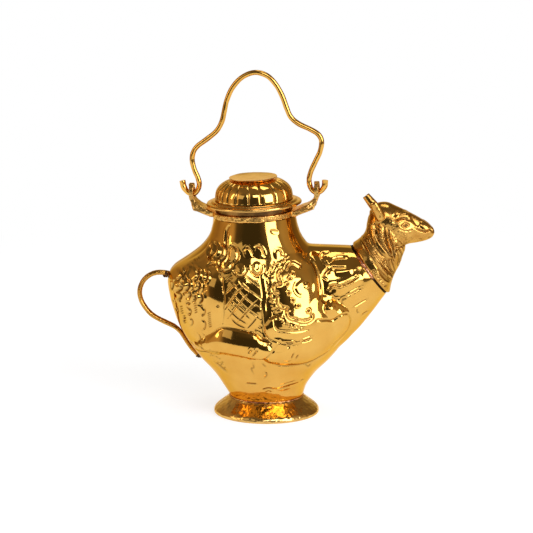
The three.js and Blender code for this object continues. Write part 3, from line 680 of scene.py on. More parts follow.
flank.groove(knee_fold, 0.6, 0.7, 0.5)
flank.swell((45.5, 78.5), (4.5, 5), 1.0, 20)
flank.swell((51, 77), (3, 3.4), 0.8, 0)
for hoof in ([(-12.8, 53.6), (-10.4, 56.4)], [(-9.9, 51.1), (-6.4, 56.4)], [(17.2, 48.6), (19.1, 52.9)],
             [(20.3, 48.0), (22.1, 51.2)]):
    flank.groove(hoof, 0.6, 0.6, 0.7)
flank.ridge([(10.8, 48.7), (14.7, 47.5), (18.2, 48.5)], 0.4, 0.6)

# saddle cloth, its border and the scalloped pad with ring marks
cloth_edge = [(-2.2, 93.9), (-1.8, 83.4), (-1.0, 72.6), (1.6, 66.1), (8.5, 62.8), (15.0, 60.5),
              (22.7, 60.1), (31.2, 62.3)]
cloth_inner = [(3.9, 83.3), (5.1, 75.6), (6.0, 70.6), (9.3, 68.7), (17.3, 67.9), (24.2, 68.0),
               (28.9, 68.8)]
flank.ridge(cloth_edge, 0.2, 1.2)
flank.groove(moved(cloth_edge, -1.6, -1.2), 0.28, 0.6, 0.3)
flank.groove(cloth_inner, 0.4, 0.45, 0.5)
for mark in ([(-4.5, 63.6), (2.8, 60.9)], [(12.3, 60.4), (18.8, 60.0)], [(24.2, 60.4), (31.2, 62.1)]):
    flank.groove(mark, 0.8, 0.7, 1.0)
flank.dot((15.3, 57.6), 0.9, 0.9)
pad_border = [(17.4, 116.3), (11.6, 115.8), (7.3, 113.3), (4.3, 108.8), (2.5, 104.0), (1.6, 98.3),
              (2.8, 92.3), (4.3, 87.8), (7.4, 81.6), (11.6, 76.2), (17.3, 72.3), (22.6, 71.2),
              (28.8, 71.4)]
flank.grains(pad_border, 2.1, 1.35, 0.4, 3, 0.55)
for scallop in ([(13.9, 109.7), (15.0, 112.0), (18.4, 112.8), (22.7, 110.4)],
                [(10.4, 109.2), (8.2, 108.4), (7.7, 105.1), (9.2, 100.7)],
                [(9.0, 101), (6.4, 100.2), (4.9, 98.2), (5.7, 95.9), (7.7, 94.6)],
                [(7.7, 91.0), (8.0, 87.7), (10.0, 85.0), (13.8, 83.9)],
                [(13.8, 83.5), (14.2, 79.9), (16.5, 77.0), (20.0, 76.3)],
                [(20.3, 75.7), (24.9, 74.1), (28.8, 74.3), (31.3, 75.8), (31.6, 78.0)]):
    flank.welt(scallop, 0.45, 0.6, 0.35)
for ring in ((18.1, 106.6), (16.0, 103.4), (14.3, 100.0), (15.3, 94.3), (18.0, 89.5), (21.7, 85.4),
             (28.8, 81.5)):
    flank.dot(ring, 0.75, 0.8, 0.45)
flank.ridge([(23.0, 101.9), (20.5, 100.5), (19.2, 97.4), (20.2, 94.4), (22.7, 92.1), (26.1, 92.2)],
            -0.55, 1.3)
flank.swell((27.7, 98.0), (2.4, 2.4), 0.8)
flank.ridge([(25.1, 114.4), (28.9, 110.5), (32.0, 105.5), (33.5, 98.7), (33.3, 90.1)], 0.5, 1.6)
flank.groove([(29.8, 113.5), (33.2, 109.2), (35.4, 103.3), (36.7, 95.4), (36.3, 88.7)], 0.9, 0.8, 0.35)

# loops hung from the throat, and the ribs that divide the flank
for loop, pad in (
    ([(-25.5, 123.1), (-23.2, 124.8), (-20.6, 122.4), (-19.6, 118.5), (-21.1, 115.0), (-24.3, 114.1)],
     (-23.2, 119.6)),
    ([(-15.3, 122.4), (-12.9, 124.4), (-10.5, 121.7), (-9.6, 119.2)], (-12.9, 121.0)),
    ([(-8.2, 125.1), (-4.4, 124.4), (-2.2, 121.4), (-1.6, 118.5)], (-5.2, 121.4)),
    ([(-31.6, 110.5), (-29.6, 108.4), (-26.2, 109.1), (-24.2, 111.3), (-23.4, 113.4)], (-27.6, 111.8)),
    ([(-22.4, 108.9), (-20.9, 106.5), (-17.8, 105.5), (-15.1, 107.0), (-12.8, 111.0)], (-17.8, 109.4)),
    ([(-10.1, 112.1), (-9.4, 108.9), (-6.7, 106.6), (-3.7, 108.5), (-3.3, 112.0)], (-6.7, 111.0)),
    ([(7.0, 122.5), (9.6, 121.0), (10.4, 118.2)], (7.8, 119.8)),
):
    flank.groove(loop, 0.6, 0.62, 0.5)
    flank.swell(pad, (3.2, 4.4), 0.6)
flank.groove([(-25.9, 137.2), (-27.4, 134.5), (-27.9, 130.2), (-28.3, 125.6), (-27.7, 122.1),
              (-28.1, 118.5), (-30.0, 115.7), (-31.9, 113.8), (-32.4, 111.2), (-31.4, 109.1),
              (-29.9, 108.3)], 0.9, 0.75, 1.0)
flank.groove([(-31.5, 107.8), (-30.6, 102.9), (-29.8, 97.1), (-29.0, 91.1), (-29.2, 85.0), (-29.2, 79.6),
              (-30.0, 72.9)], 0.32, 0.45, 0.45)
flank.groove([(-4.4, 108.4), (-3.9, 101.3), (-2.7, 93.1), (-3.3, 85.7), (-2.5, 76.5), (-1.0, 69.5),
              (1.3, 65.3)], 0.32, 0.45, 0.4)
flank.ridge([(-2.2, 108.4), (-1.7, 101.3), (-0.5, 93.1), (-1.1, 85.7), (-0.3, 76.5)], 0.2, 0.9)

# lattice panel
for bar in ([(-13.6, 105.5), (-8.3, 101.7), (-3.5, 97.6)],
            [(-19.7, 103.5), (-15.1, 98.6), (-9.0, 94.6), (-3.3, 90.2)],
            [(-25.5, 103.0), (-19.7, 97.1), (-12.1, 89.4), (-4.1, 84.2)],
            [(-25.4, 96.0), (-19.7, 90.0), (-14.0, 84.5), (-7.5, 79.6), (-4.1, 76.8)],
            [(-25.9, 90.5), (-19.7, 85.1), (-15.1, 81.1), (-10.6, 76.5)],
            [(-26.2, 83.6), (-20.5, 78.1), (-16.7, 75.6), (-13.2, 73.4)],
            [(-24.3, 76.9), (-20.5, 73.3), (-14.0, 70.3)]):
    flank.groove(bar, 0.42, 0.4, 0.8)
for bar in ([(-28.1, 101.6), (-23.2, 105.3)], [(-28.4, 93.4), (-23.9, 98.1), (-19.7, 100.5)],
            [(-28.5, 83.1), (-24.3, 89.5), (-19.7, 95.6), (-15.5, 99.0)],
            [(-26.6, 76.8), (-20.5, 84.7), (-15.9, 90.8), (-12.1, 94.6)],
            [(-20.3, 73.9), (-15.1, 80.3), (-9.8, 86.4), (-5.6, 90.2)],
            [(-13.4, 70.1), (-9.8, 74.2), (-6.6, 78.4)]):
    flank.groove(bar, 0.4, 0.4, 0.8)
for mark in ((-4.5, 71.6), (-7.5, 69.1), (-33.5, 85.1)):
    flank.dot(mark, 0.7, 0.7)

# scales of the rump, deep on the shoulder and shallow below it, with matting and lines between them
for scale in (
    [(-59.9, 104.6), (-57.5, 103.9), (-57.4, 102.1), (-59.2, 99.9), (-61.8, 97.8)],
    [(-54.0, 106.1), (-55.4, 103.9), (-55.3, 101.7), (-53.1, 100.2)],
    [(-48.0, 108.2), (-46.0, 106.5), (-45.7, 104.5), (-46.5, 102.5), (-48.2, 100.9)],
    [(-41.4, 106.8), (-39.9, 105.5), (-40.0, 102.8), (-41.4, 101.0)],
    [(-63.1, 96.4), (-63.6, 93.6), (-64.8, 90.0)],
    [(-58.9, 98.8), (-56.8, 96.9), (-57.3, 93.9), (-59.3, 91.9), (-61.3, 91.0)],
    [(-53.2, 100.0), (-52.2, 97.2), (-53.3, 94.2), (-55.0, 92.7)],
    [(-46.8, 100.5), (-45.0, 98.6), (-45.4, 95.8), (-47.2, 93.0)],
    [(-52.5, 93.3), (-51.3, 91.0), (-52.4, 88.2)],
    [(-49.2, 91.2), (-47.8, 89.1), (-49.0, 86.7)],
    [(-45.4, 92.7), (-43.3, 90.7), (-43.3, 88.2), (-45.2, 84.9)],
    [(-60.0, 90.8), (-57.8, 89.3), (-58.4, 86.6), (-60.6, 84.5)],
):
    deep = 0.6 + 0.45 * float(smoothstep(scale[1][1], 88, 97))
    flank.ridge(moved(scale, 0.5, 0), 0.9 * deep, 0.8)
    flank.groove(moved(scale, -1.3, -0.1), 1.0 * deep, 1.05, 1.0)
for scale in (
    [(-43.9, 82.8), (-42.4, 80.7), (-42.8, 78.4), (-44.7, 77.1)],
    [(-44.7, 74.1), (-42.4, 72.1), (-42.5, 68.1), (-44.4, 65.8)],
    [(-55.4, 85.3), (-53.9, 83.7), (-52.4, 85.4)],
    [(-54.9, 81.8), (-52.7, 80.1), (-52.1, 78.1), (-53.6, 76.0), (-55.3, 76.6)],
    [(-53.4, 73.8), (-51.4, 72.2), (-51.3, 69.2), (-53.1, 66.9)],
    [(-48.0, 63.2), (-46.0, 60.3), (-46.5, 57.0), (-48.6, 55.5), (-49.9, 57.2)],
    [(-44.0, 63.5), (-42.9, 61.2), (-43.4, 58.4), (-44.9, 57.4)],
):
    flank.groove(scale, 0.5, 0.55, 0.65)
    flank.swell(np.mean(scale, axis=0) - (0.8, 0), (2.6, 3.4), 0.35)
for drop in ([(-35.2, 125.3), (-33.9, 123.8), (-33.7, 121.2), (-34.7, 119.0), (-36.6, 117.3),
              (-38.1, 116.2)],
             [(-30.3, 124.0), (-29.0, 122.1), (-29.3, 119.3), (-31.0, 116.9), (-33.2, 116.2)]):
    flank.ridge(drop, 0.9, 0.8)
    flank.groove(moved(drop, -1.7, -0.2), 1.1, 1.1, 0.9)
flank.groove([(-36.7, 124.5), (-38.9, 120.6), (-40.1, 117.7), (-39.3, 115.0), (-37.8, 113.6)], 0.7, 0.7,
             0.7)
flank.ridge([(-36.0, 127.5), (-39.5, 122.0), (-42.5, 117.5), (-47.5, 113.2), (-53.5, 109.6),
             (-60.5, 105.8)], 0.9, 1.5)
flank.groove([(-38.9, 124.6), (-42.2, 120.3), (-46.6, 116.4), (-52.5, 112.4), (-60.2, 108.4)], 0.6, 0.6,
             0.8)
flank.groove([(-40.7, 110.6), (-38.3, 112.0), (-35.3, 112.4)], 0.7, 0.7, 0.4)
flank.groove([(-25.7, 122.3), (-26.1, 118.7), (-27.1, 115.1), (-28.3, 112.0)], 0.6, 0.7, 0.5)
flank.grains([(-50.2, 104.0), (-49.8, 97.0), (-50.6, 84.0)], 0.8, 1.6, 0.4, 21)
flank.grains([(-42.0, 101.5), (-41.8, 97.0), (-41.4, 92.4)], 0.9, 1.4, 0.5, 22)
for mark in ((-65.0, 82.2), (-62.6, 76.4), (-60.0, 84.5), (-53.9, 84.5), (-53.3, 76.4), (-44.7, 84.2),
             (-44.0, 77.4), (-57.1, 72.5), (-57.5, 69.4), (-59.5, 94.9)):
    flank.dot(mark, 0.8, 0.6)
for low, high, count in (((-38.8, 69.7), (-39.6, 79.5), 8), ((-48.6, 78.9), (-49.3, 86.8), 6),
                         ((-58.6, 75.7), (-59.3, 80.5), 4), ((-56.9, 68.3), (-57.3, 73.9), 4)):
    for t in np.linspace(0, 1, count):
        x, z = np.array(low) * (1 - t) + np.array(high) * t
        flank.groove([(x - 1.1, z - 0.7), (x + 1.1, z + 0.7)], 0.4, 0.4, 0.8, False)
flank.grains([(-46.9, 114.6), (-50.7, 110.5), (-54.2, 107.0)], 1.3, 1.2, 0.35, 7)
flank.groove([(-55.4, 54.8), (-51.1, 52.1), (-47.0, 51.2), (-40.6, 51.9), (-33.5, 52.9)], 0.5, 0.6)
flank.groove([(-52.0, 49.6), (-47.5, 47.7), (-43.1, 48.8), (-37.6, 49.9)], 0.4, 0.5)

flank.groove([(-47.0, 54.6), (-43.0, 51.8), (-38.0, 51.2), (-33.6, 51.4)], 0.9, 0.7, 1.0)
flank.dot((-34.4, 51.2), 1.1, 0.6, 0.3)
flank.dot((-38.6, 51.7), 0.9, 0.5, 0.3)
flank.grains([(-38.0, 49.0), (-33.5, 45.0), (-29.5, 40.5)], 2.4, 1.6, 0.4, 23)

# curls and folds of the neck
for fold in ([(42.6, 116.7), (39.4, 116.0), (38.1, 114.4), (39.0, 112.1), (41.6, 110.1), (45.1, 109.4)],
             [(44.8, 111.6), (47.5, 113.4), (51.3, 113.8), (55.6, 113.9)],
             [(44.7, 106.9), (42.0, 106.7), (39.8, 104.7), (39.5, 102.3), (41.6, 100.4)],
             [(42.3, 93.6), (44.3, 96.0), (46.9, 96.7), (50.0, 96.0)],
             [(49.2, 95.8), (53.5, 96.9), (58.2, 98.7), (62.6, 101.4)]):
    flank.groove(fold, 0.6, 0.65, 0.5)
    flank.ridge(moved(fold, 0.6, -1.6), 0.3, 1.1)
for fold in ([(42.0, 107.8), (45.8, 108.2), (51.3, 107.9), (55.9, 108.3)],
             [(45.0, 89.2), (47.0, 86.9), (50.0, 87.3)], [(55.8, 88.9), (60.5, 91.1), (66.3, 94.0)],
             [(55.1, 87.5), (52.7, 86.9), (52.3, 84.2), (53.6, 81.7)],
             [(59.4, 80.0), (65.2, 83.0), (70.7, 85.6)], [(63.3, 79.0), (63.0, 76.4), (64.6, 75.4)],
             [(66.2, 72.7), (68.6, 74.5), (71.0, 75.5)]):
    flank.groove(fold, 0.45, 0.6, 0.6)
flank.ridge([(47, 92.5), (54, 95.0), (61, 98.2), (67, 101.5)], 0.9, 2.2)
flank.ridge([(46, 105), (53, 105.4), (60, 106.2)], 0.6, 1.8)
flank.swell((5.2, 134.0), (3.4, 2.0), -0.55, -20)

# marks on the stem
for mark in ([(-14.2, 27.4), (-6.5, 27.6)], [(-2.0, 23.1), (1.2, 24.4), (4.4, 23.4)],
             [(8.6, 23.8), (15.3, 24.4)], [(23.6, 27.6), (25.8, 28.5)],
             [(-9.4, 44.9), (-8.9, 41.0), (-10.4, 39.8), (-8.9, 35.8)], [(-3.0, 44.5), (-0.5, 41.9)],
             [(-1.5, 32.4), (0.2, 35.4), (-1.0, 38.3)], [(-36.3, 42.3), (-27.3, 35.0)],
             [(-34.3, 41.0), (-27.3, 36.3)], [(26.1, 42.9), (29.2, 39.6), (30.7, 41.9)]):
    flank.groove(mark, 0.35, 0.7, 0.55)
flank.ridge([(-3.0, 24.7), (2.4, 25.4), (8.4, 25.0), (13.4, 26.4), (19.4, 27.2), (25.4, 28.6)], 0.28,
            0.9)
flank.groove([(8.4, 26.2), (14.4, 27.4), (21.4, 28.7)], 0.2, 0.5, 0.2)

def cut_off(form, corner, way):
    """Cuts off what lies beyond a plane"""
    bmesh.ops.bisect_plane(form, geom=form.verts[:] + form.edges[:] + form.faces[:], dist=0.0001,
                           plane_co=corner, plane_no=way, clear_outer=True)


body_voxel = 0.89
chased_bend = 0.25
body_skin = fused(joined(formed(180, 120, vessel_shape, -0.02, 1.0),
                         formed(120, 60, chord_shape(neck_chords), 0.0, 1.06)), body_voxel)
relaxed(body_skin, 12)
points = points_of(body_skin)
points[:, 1] += (np.sign(points[:, 1]) * flank.at(raised, points[:, 0], points[:, 2])
                 * smoothstep(np.abs(points[:, 1]), 8, 22))
set_points(body_skin, points)
body_form = form_from(body_skin)
middles = np.array([face.calc_center_median() for face in body_form.faces])
sharp = flank.at(flank.detail(), middles[:, 0], middles[:, 2]) > chased_bend
sharp &= middles[:, 1] < -4
chased = {edge for face, wanted in zip(body_form.faces, sharp) if wanted for edge in face.edges}
bmesh.ops.subdivide_edges(body_form, edges=list(chased), cuts=1, use_grid_fill=True)
body_form.to_mesh(body_skin)
body_form.free()
relaxed(body_skin, 2)
body_form = form_from(body_skin)
bpy.data.meshes.remove(body_skin)
mouth_frame = Matrix.Translation((mouth_offset, 0, mouth_height)) @ Matrix.Rotation(mouth_tilt, 4, "Y")
mouth_up = (mouth_frame.to_3x3() @ Vector((0, 0, 1))).normalized()
cut_off(body_form, (0, 0, 0), (0, 1, 0))
cut_off(body_form, (0, 0, stem_rise - 0.3), (0, 0, -1))
cut_off(body_form, mouth_frame @ Vector((0, 0, -0.3)), mouth_up)
cut_off(body_form, seam_centre, seam_way)
near_skin = mesh_from(body_form, "near_skin")
points, normals = points_of(near_skin), normals_of(near_skin)
facing = smoothstep(np.abs(normals[:, 1]), 0.12, 0.5)
rise = flank.at(flank.height, points[:, 0], points[:, 2]) * facing
dents = np.array([noise.noise(Vector(point) / 7.5) * 0.10
                  + noise.noise(Vector(point) / 19 + Vector((4, 9, 2))) * 0.34 for point in points])
rise += dents * smoothstep(points[:, 2], 14, 22) * smoothstep(-points[:, 1], 0, 5)
set_points(near_skin, points + normals * rise[:, None])
tarnish = flank.at(flank.tarnish, points[:, 0], points[:, 2]) * facing
# a dark line along the brazed middle seam; its extra darkening towards the rump is painted shade,
# standing in for the dark reflection along that edge
seam_and_edge_shade = np.exp(-(points[:, 1] / 1.1) ** 2) * (0.4 + 0.45 * smoothstep(-points[:, 0], 20, 34))
set_tarnish(near_skin, np.maximum(tarnish, seam_and_edge_shade))

body_finish = brass("raised_brass", hammer_size=11, hammer_depth=0.10, cloud_size=26, polish=0.055,
                    dullness=0.045, grain_size=0.7, grain_depth=0.003)
same_point = 0.00002


def node_form(node, place=pot_frame):
    """A merged copy of a node, in millimetres in the frame of its piece"""
    form = form_from(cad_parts[node].data)
    bmesh.ops.remove_doubles(form, verts=form.verts, dist=same_point)
    form.transform((millimetres @ place).inverted())
    return form


def half_form(node, flip, neck_from=38):
    """One half: the worked outside and the plain inside of its sheet"""
    inside = node_form(node)
    inside.normal_update()
    outer = []
    for face in inside.faces:
        centre = face.calc_center_median()
        in_neck = centre.x > neck_from
        axis = Vector((min(centre.x, 71), 0, 98)) if in_neck else Vector((-3, 0, min(centre.z, 139)))
        spread = Vector((centre - axis).to_tuple())
        if not in_neck:
            spread.z = 0
        if face.normal.dot(spread) > 0.35 * spread.length:
            outer.append(face)
    bmesh.ops.delete(inside, geom=outer, context="FACES")
    whole = form_from(near_skin)
    if flip:
        bmesh.ops.scale(whole, verts=whole.verts, vec=(1, -1, 1))
        bmesh.ops.reverse_faces(whole, faces=whole.faces)
    part = mesh_from(inside, "inside")
    whole.from_mesh(part)
    bpy.data.meshes.remove(part)
    return whole


for side, flip in (("near", False), ("far", True)):
    node = f"body_{side}_half"
    add_piece(f"{side}_half_worked", half_form(node, flip), body_finish, "pot", node,
              crease=75)

# Floor of the body.
# A plain disc let in above the foot ring, seen only from below and through the mouth.
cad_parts["body_floor"].data.materials.clear()
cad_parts["body_floor"].data.materials.append(body_finish)

# Tail handle.
# A half-round strip bent into a loop for one finger, its lower end hammered down on the rump.
strip_finish = brass("strip_brass", tone=(0.60, 0.31, 0.055), clouded=(0.50, 0.24, 0.04), cloud_size=14,
                     polish=0.13, dullness=0.08, hammer_size=6, hammer_depth=0.08, grain_size=0.9,
                     grain_depth=0.010)


def worked_copy(node, voxel, rounds, place=pot_frame):
    """An even, slightly softened copy of a node"""
    return relaxed(fused(node_form(node, place), voxel), rounds, 0.52)


def roughened(mesh, layers, mask=None):
    """Adds unevenness in layers of size, depth and seed, by a mask of each point"""
    points, normals = points_of(mesh), normals_of(mesh)
    share = np.ones(len(points)) if mask is None else mask(points, normals)
    away = np.zeros(len(points))
    for size, depth, seed in layers:
        start = noise_start(seed)
        away += depth * np.array([noise.noise(Vector(point) / size + start) for point in points])
    set_points(mesh, points + normals * (away * share)[:, None])
    return away * share


tail_mesh = worked_copy("tail_handle", 0.32, 14)
tail_away = roughened(tail_mesh, [(4.0, 0.10, 2), (1.3, 0.06, 3)])
set_points(tail_mesh, points_of(tail_mesh) + normals_of(tail_mesh) * 0.38)
set_tarnish(tail_mesh, -tail_away * 3)
add_piece("tail_strip", tail_mesh, strip_finish, "pot", "tail_handle", crease=60)

# Brazes of the tail.
# Dark lumps of filler left rough at both ends of the strip.
scorched_finish = brass("scorched_braze", tone=(0.035, 0.02, 0.012), clouded=(0.20, 0.09, 0.035),
                        cloud_size=3, polish=0.5, dullness=0.2, hammer_size=1.2, hammer_depth=0.2,
                        grain_depth=0.03)
for node, seed in (("tail_top_braze", 4), ("tail_foot_braze", 5)):
    lump = worked_copy(node, 0.28, 4)
    middle = points_of(lump).mean(0)
    set_points(lump, middle + (points_of(lump) - middle) * (0.95, 0.8, 0.8))
    roughened(lump, [(2.6, 0.9, seed), (0.9, 0.3, seed + 3)])
    add_piece(node + "_lump", lump, scorched_finish, "pot", node, crease=60)

# Head casting.
# The cow's head and the collar below it were cast hollow in sand, then filed, chased with hair and
# folds, and brazed to the neck. The mouth is pierced as the spout.
throat_chords = {
    "top": [(-10.6, 19.0), (-6.9, 21.6), (-3.6, 25.0), (-1.9, 28.8), (-1.2, 33.6), (0.6, 39.5),
            (6.2, 44.0)],
    "bottom": [(15.4, -14.3), (16.7, -7.8), (18.9, -2.0), (21.8, 3.6), (24.0, 10.2), (25.7, 15.2),
               (25.5, 22.0)],
    "wide": [21.3, 20.3, 17.4, 15.0, 13.2, 12.0, 10.5],
}
skull_chords = {
    "top": [(0.6, 41.6), (5.4, 47.0), (12.4, 48.0), (19.0, 45.3), (25.8, 42.1), (33.6, 37.9),
            (40.4, 33.7), (44.6, 30.2), (45.9, 27.6)],
    "bottom": [(0.4, 34.0), (5.0, 26.0), (13.4, 20.0), (22.5, 17.2), (28.4, 18.6), (33.6, 19.4),
               (39.6, 20.8), (43.8, 22.8), (45.6, 25.2)],
    "wide": [4.5, 9.6, 11.4, 11.2, 9.6, 7.6, 6.4, 4.8, 2.2],
}


def ear_form(side, tip):
    """A leaf rolled into a tube, open at its cut tip"""
    base = Vector((8.4, side * 10.4, 37.6))
    way = (Vector(tip) - base).normalized()
    length = (Vector(tip) - base).length
    across = way.cross(Vector((0, 1, 0))).normalized()
    outward = across.cross(way).normalized()
    outline = through([(0.0, 0.0), (2.6, 0.0), (3.3, 2.4), (3.35, length * 0.5), (2.95, length * 0.8),
                       (2.65, length)], 4)
    cup = [(2.1, length + 0.1), (1.6, length - 2), (1.1, length - 5), (0.0, length - 6.5)]
    form = spun([*map(tuple, outline), *cup], 28)
    turn = Matrix((across, outward, way)).transposed().to_4x4()
    form.transform(Matrix.Translation(seam_centre + base) @ turn @ Matrix.Diagonal((1, 0.72, 1, 1)))
    return form


chord_centre = (seam_centre.x, seam_centre.z)
head_voxel = 0.36
head_mesh = fused(joined(formed(96, 80, chord_shape(throat_chords, chord_centre), -0.2, 1.0),
                         formed(72, 90, chord_shape(skull_chords, chord_centre), 0.0, 1.0),
                         ear_form(-1, (2.6, -12.4, 49.6)), ear_form(1, (-1.7, 13.0, 50.1))), head_voxel)
relaxed(head_mesh, 16, 0.51)

face = Relief((50, 80), (124, 164), 0.15)
# collar: a plain band at the joint with punched notches on its lower half, and two rings above it
face.welt([(66.6, 125.4), (69.0, 121.8), (72.0, 117.5), (74.8, 113.7), (79.0, 107.7), (83.2, 102.3),
           (87.5, 98.0)], 0.8, 0.75, 0.65)
face.welt([(69.2, 124.6), (73.6, 118.2), (76.4, 114.6), (81.0, 108.8), (87.5, 101.6)], 0.6, 0.6, 0.6)
face.groove([(77.6, 105.6), (80.6, 101.6), (83.6, 98.2), (87.6, 94.8)], 0.7, 0.9, 0.45)
for notch in ((75.4, 102.6), (77.6, 100.6), (79.2, 98.5), (80.8, 96.3), (82.7, 93.6), (73.6, 105.4)):
    face.groove([(notch[0] - 0.8, notch[1] - 0.4), (notch[0] + 0.7, notch[1] + 0.4)], 0.6, 0.42, 1.0,
                False)
# hair in strands and a rope, gathered under the jaw
strand = [(73.4, 135.0), (74.4, 129.1), (77.0, 123.0), (81.2, 117.4), (85.8, 113.2)]
face.groove(moved(strand, -2.2, -0.6), 1.0, 0.85, 1.0)
face.limb(strand, [1.2, 1.9, 2.1, 2.0, 1.2], 1.3)
face.groove(moved(strand, 2.4, 0.7), 1.1, 0.8, 1.0)
rope = [(78.4, 135.6), (79.0, 129.1), (80.6, 123.2), (83.2, 118.3), (86.6, 113.5)]
face.limb(rope, [1.0, 1.6, 1.7, 1.5, 0.8], 1.3)
for t in np.linspace(0.06, 0.94, 12):
    x, z = through(rope)[int(t * 32)]
    face.groove([(x - 1.4, z + 0.9), (x + 1.2, z - 0.8)], 0.7, 0.4, 1.0, False)
for strand in ([(81.1, 135.6), (82.8, 127.0), (85.0, 119.4), (87.7, 112.3)],
               [(83.8, 133.3), (85.5, 126.8), (87.6, 121.3), (88.2, 115.9), (88.3, 111.6)],
               [(90.4, 119.6), (89.2, 115.8), (88.8, 111.0)]):
    face.groove(strand, 0.9, 0.65, 1.0)
    face.ridge(moved(strand, 1.3, 0), 0.45, 0.6)
face.grains([(79.4, 133), (82.6, 125), (86.4, 117.5)], 1.0, 0.9, 0.4, 24, 0.35)
face.groove([(87.3, 124.8), (89.8, 120.9), (93.6, 119.9), (96.5, 121.2), (100.5, 123.8)], 0.5, 0.7, 0.5)
face.dot((91.0, 120.8), 1.5, 0.9, 0.3, 0.6)
for leaf in ([(91.2, 117.4), (93.4, 113.5), (92.6, 107.0)],
             [(94.0, 118.4), (95.0, 114.5), (93.8, 109.3)],
             [(82.1, 111.3), (84.0, 105.5), (86.0, 99.0)],
             [(85.9, 111.3), (87.2, 106.7), (88.5, 102.2)]):
    face.welt(leaf, 0.55, 0.6, 0.5)
face.grains([(69.5, 127.5), (74.5, 122.0), (78.5, 116.5), (82, 111)], 2.0, 1.4, 0.3, 11, 0.45)
face.grains([(69.5, 133), (70.8, 129), (74, 124)], 1.8, 1.4, 0.3, 12, 0.45)
face.grains([(88, 132), (92.5, 128.5), (98, 128)], 3.4, 1.25, 0.3, 13, 0.4)
face.grains([(88.5, 127.5), (92, 124.5), (97, 124.5)], 2.6, 1.25, 0.3, 14, 0.4)
face.grains([(86.6, 137.4), (88.4, 134.5), (89.5, 131.5)], 1.8, 1.3, 0.25, 16, 0.35)
# brow, eye and muzzle
face.ridge([(89.6, 140.9), (92.9, 142.8), (96.6, 142.8), (99.6, 140.8)], 0.8, 0.85)
face.groove([(88.2, 137.9), (91.8, 139.5), (95.5, 140.1), (99.6, 138.6)], 1.1, 0.75, 1.0)
face.groove([(88.2, 142.2), (91.2, 144.4), (95.4, 145.2), (99.8, 143.2)], 0.3, 0.6, 0.3)
eye_rim = [(93.8, 135.1), (95.2, 136.2), (97.0, 136.4), (98.7, 135.5), (97.5, 134.3), (95.5, 134.0),
           (93.8, 135.1)]
face.welt(eye_rim, 0.4, 0.34, 0.35)
face.dot((96.3, 135.2), 0.75, 0.5)
face.groove([(91.6, 133.6), (95.0, 131.8), (98.7, 131.4), (101.9, 132.9)], 0.35, 0.5, 0.6)
face.grains([(91.6, 132.9), (95.7, 131.6), (101.4, 131.9)], 0.8, 0.9, 0.3, 15, 0.35)
face.ridge([(97.8, 144.9), (102.6, 141.4), (107.4, 138.6), (112.6, 136.4)], 0.5, 1.3)
face.ridge([(99.8, 140.6), (103.2, 137.2), (106.2, 133.8)], -0.7, 1.4)
face.swell((110.6, 134.0), (4.6, 2.8), 0.9, -28, 0.7)
face.groove([(103.4, 133.2), (105.2, 132.0), (107.5, 130.9), (110.7, 130.3), (114.1, 131.4),
             (115.9, 129.5)], 0.75, 0.6, 0.9)
for mark in ([(106.0, 125.0), (108.6, 124.6)], [(112.2, 125.2), (114.5, 126.3)]):
    face.groove(mark, 0.35, 0.4, 0.7)
for mark in ((73.2, 152.8), (78.4, 142.4), (76.4, 148.2)):
    face.dot(mark, 0.55, 0.5)

points, normals = points_of(head_mesh), normals_of(head_mesh)
facing = smoothstep(np.abs(normals[:, 1]), 0.1, 0.45)
on_ear = smoothstep(points[:, 2] - 0.9 * (points[:, 0] - 79), 148, 150)
rise = face.at(face.height, points[:, 0], points[:, 2]) * facing * (1 - 0.8 * on_ear)
points += normals * rise[:, None]
# the edge of the collar is rounded
from_seam = points - np.array(seam_centre)
along = from_seam @ np.array(seam_way)
outward = from_seam - along[:, None] * np.array(seam_way)
outward /= np.maximum(np.linalg.norm(outward, axis=1), 1)[:, None]
points -= outward * (1.1 * smoothstep(-along, -3.6, -1.5) ** 2)[:, None]
set_points(head_mesh, points)
set_tarnish(head_mesh, face.at(face.tarnish, points[:, 0], points[:, 2]) * facing)
head_form = form_from(head_mesh)
bpy.data.meshes.remove(head_mesh)
cut_off(head_form, seam_centre + seam_way * 1.7, -seam_way)
head_finish = brass("cast_brass", tone=(0.66, 0.36, 0.080), clouded=(0.50, 0.235, 0.042), cloud_size=8,
                    polish=0.16, dullness=0.12, hammer_size=2.4, hammer_depth=0.10, grain_size=0.7,
                    grain_depth=0.022)
add_piece("head_chased", head_form, head_finish, "pot", "head_casting", crease=75)

# Braze between neck and head.
# The same copper-rich filler stands out in lumps on the upper part of each side; elsewhere the joint
# is an open line, and the thin bead in it is painted near black as painted shade inside the gap.
seam_turn = Matrix.Rotation(math.pi / 2 - seam_angle, 4, "Y")
seam_frame = pot_frame @ Matrix.Translation(seam_centre) @ seam_turn
seam_bead_radius, seam_bead_height = 20.5, 0.8
seam_bead = filler_bead(seam_bead_radius, seam_bead_height, 0.9)
seam_bead_up = Vector((0, 0, seam_bead_height))
mask = seam_bead.verts.layers.float.new("tarnish")
for vert in seam_bead.verts:
    from_top = math.degrees(math.acos(max(-1, min(1, -vert.co.x / vert.co.xy.length))))
    share = float(smoothstep(from_top, 34, 46) * smoothstep(-from_top, -104, -94))
    way = Vector((vert.co.x, vert.co.y, 0)).normalized()
    core = way * (19.6 + 0.8 * share) + seam_bead_up
    lumps = 0.35 + 0.8 * noise.noise(vert.co / 3.1 + Vector((3, 6, 2)))
    lumps += 0.3 * noise.noise(vert.co / 1.1)
    vert.co = core + (vert.co - way * seam_bead_radius - seam_bead_up) * (1 + share * lumps)
    # where there is no filler the mask turns the bead near black: painted shade of the open joint
    vert[mask] = 1 - share
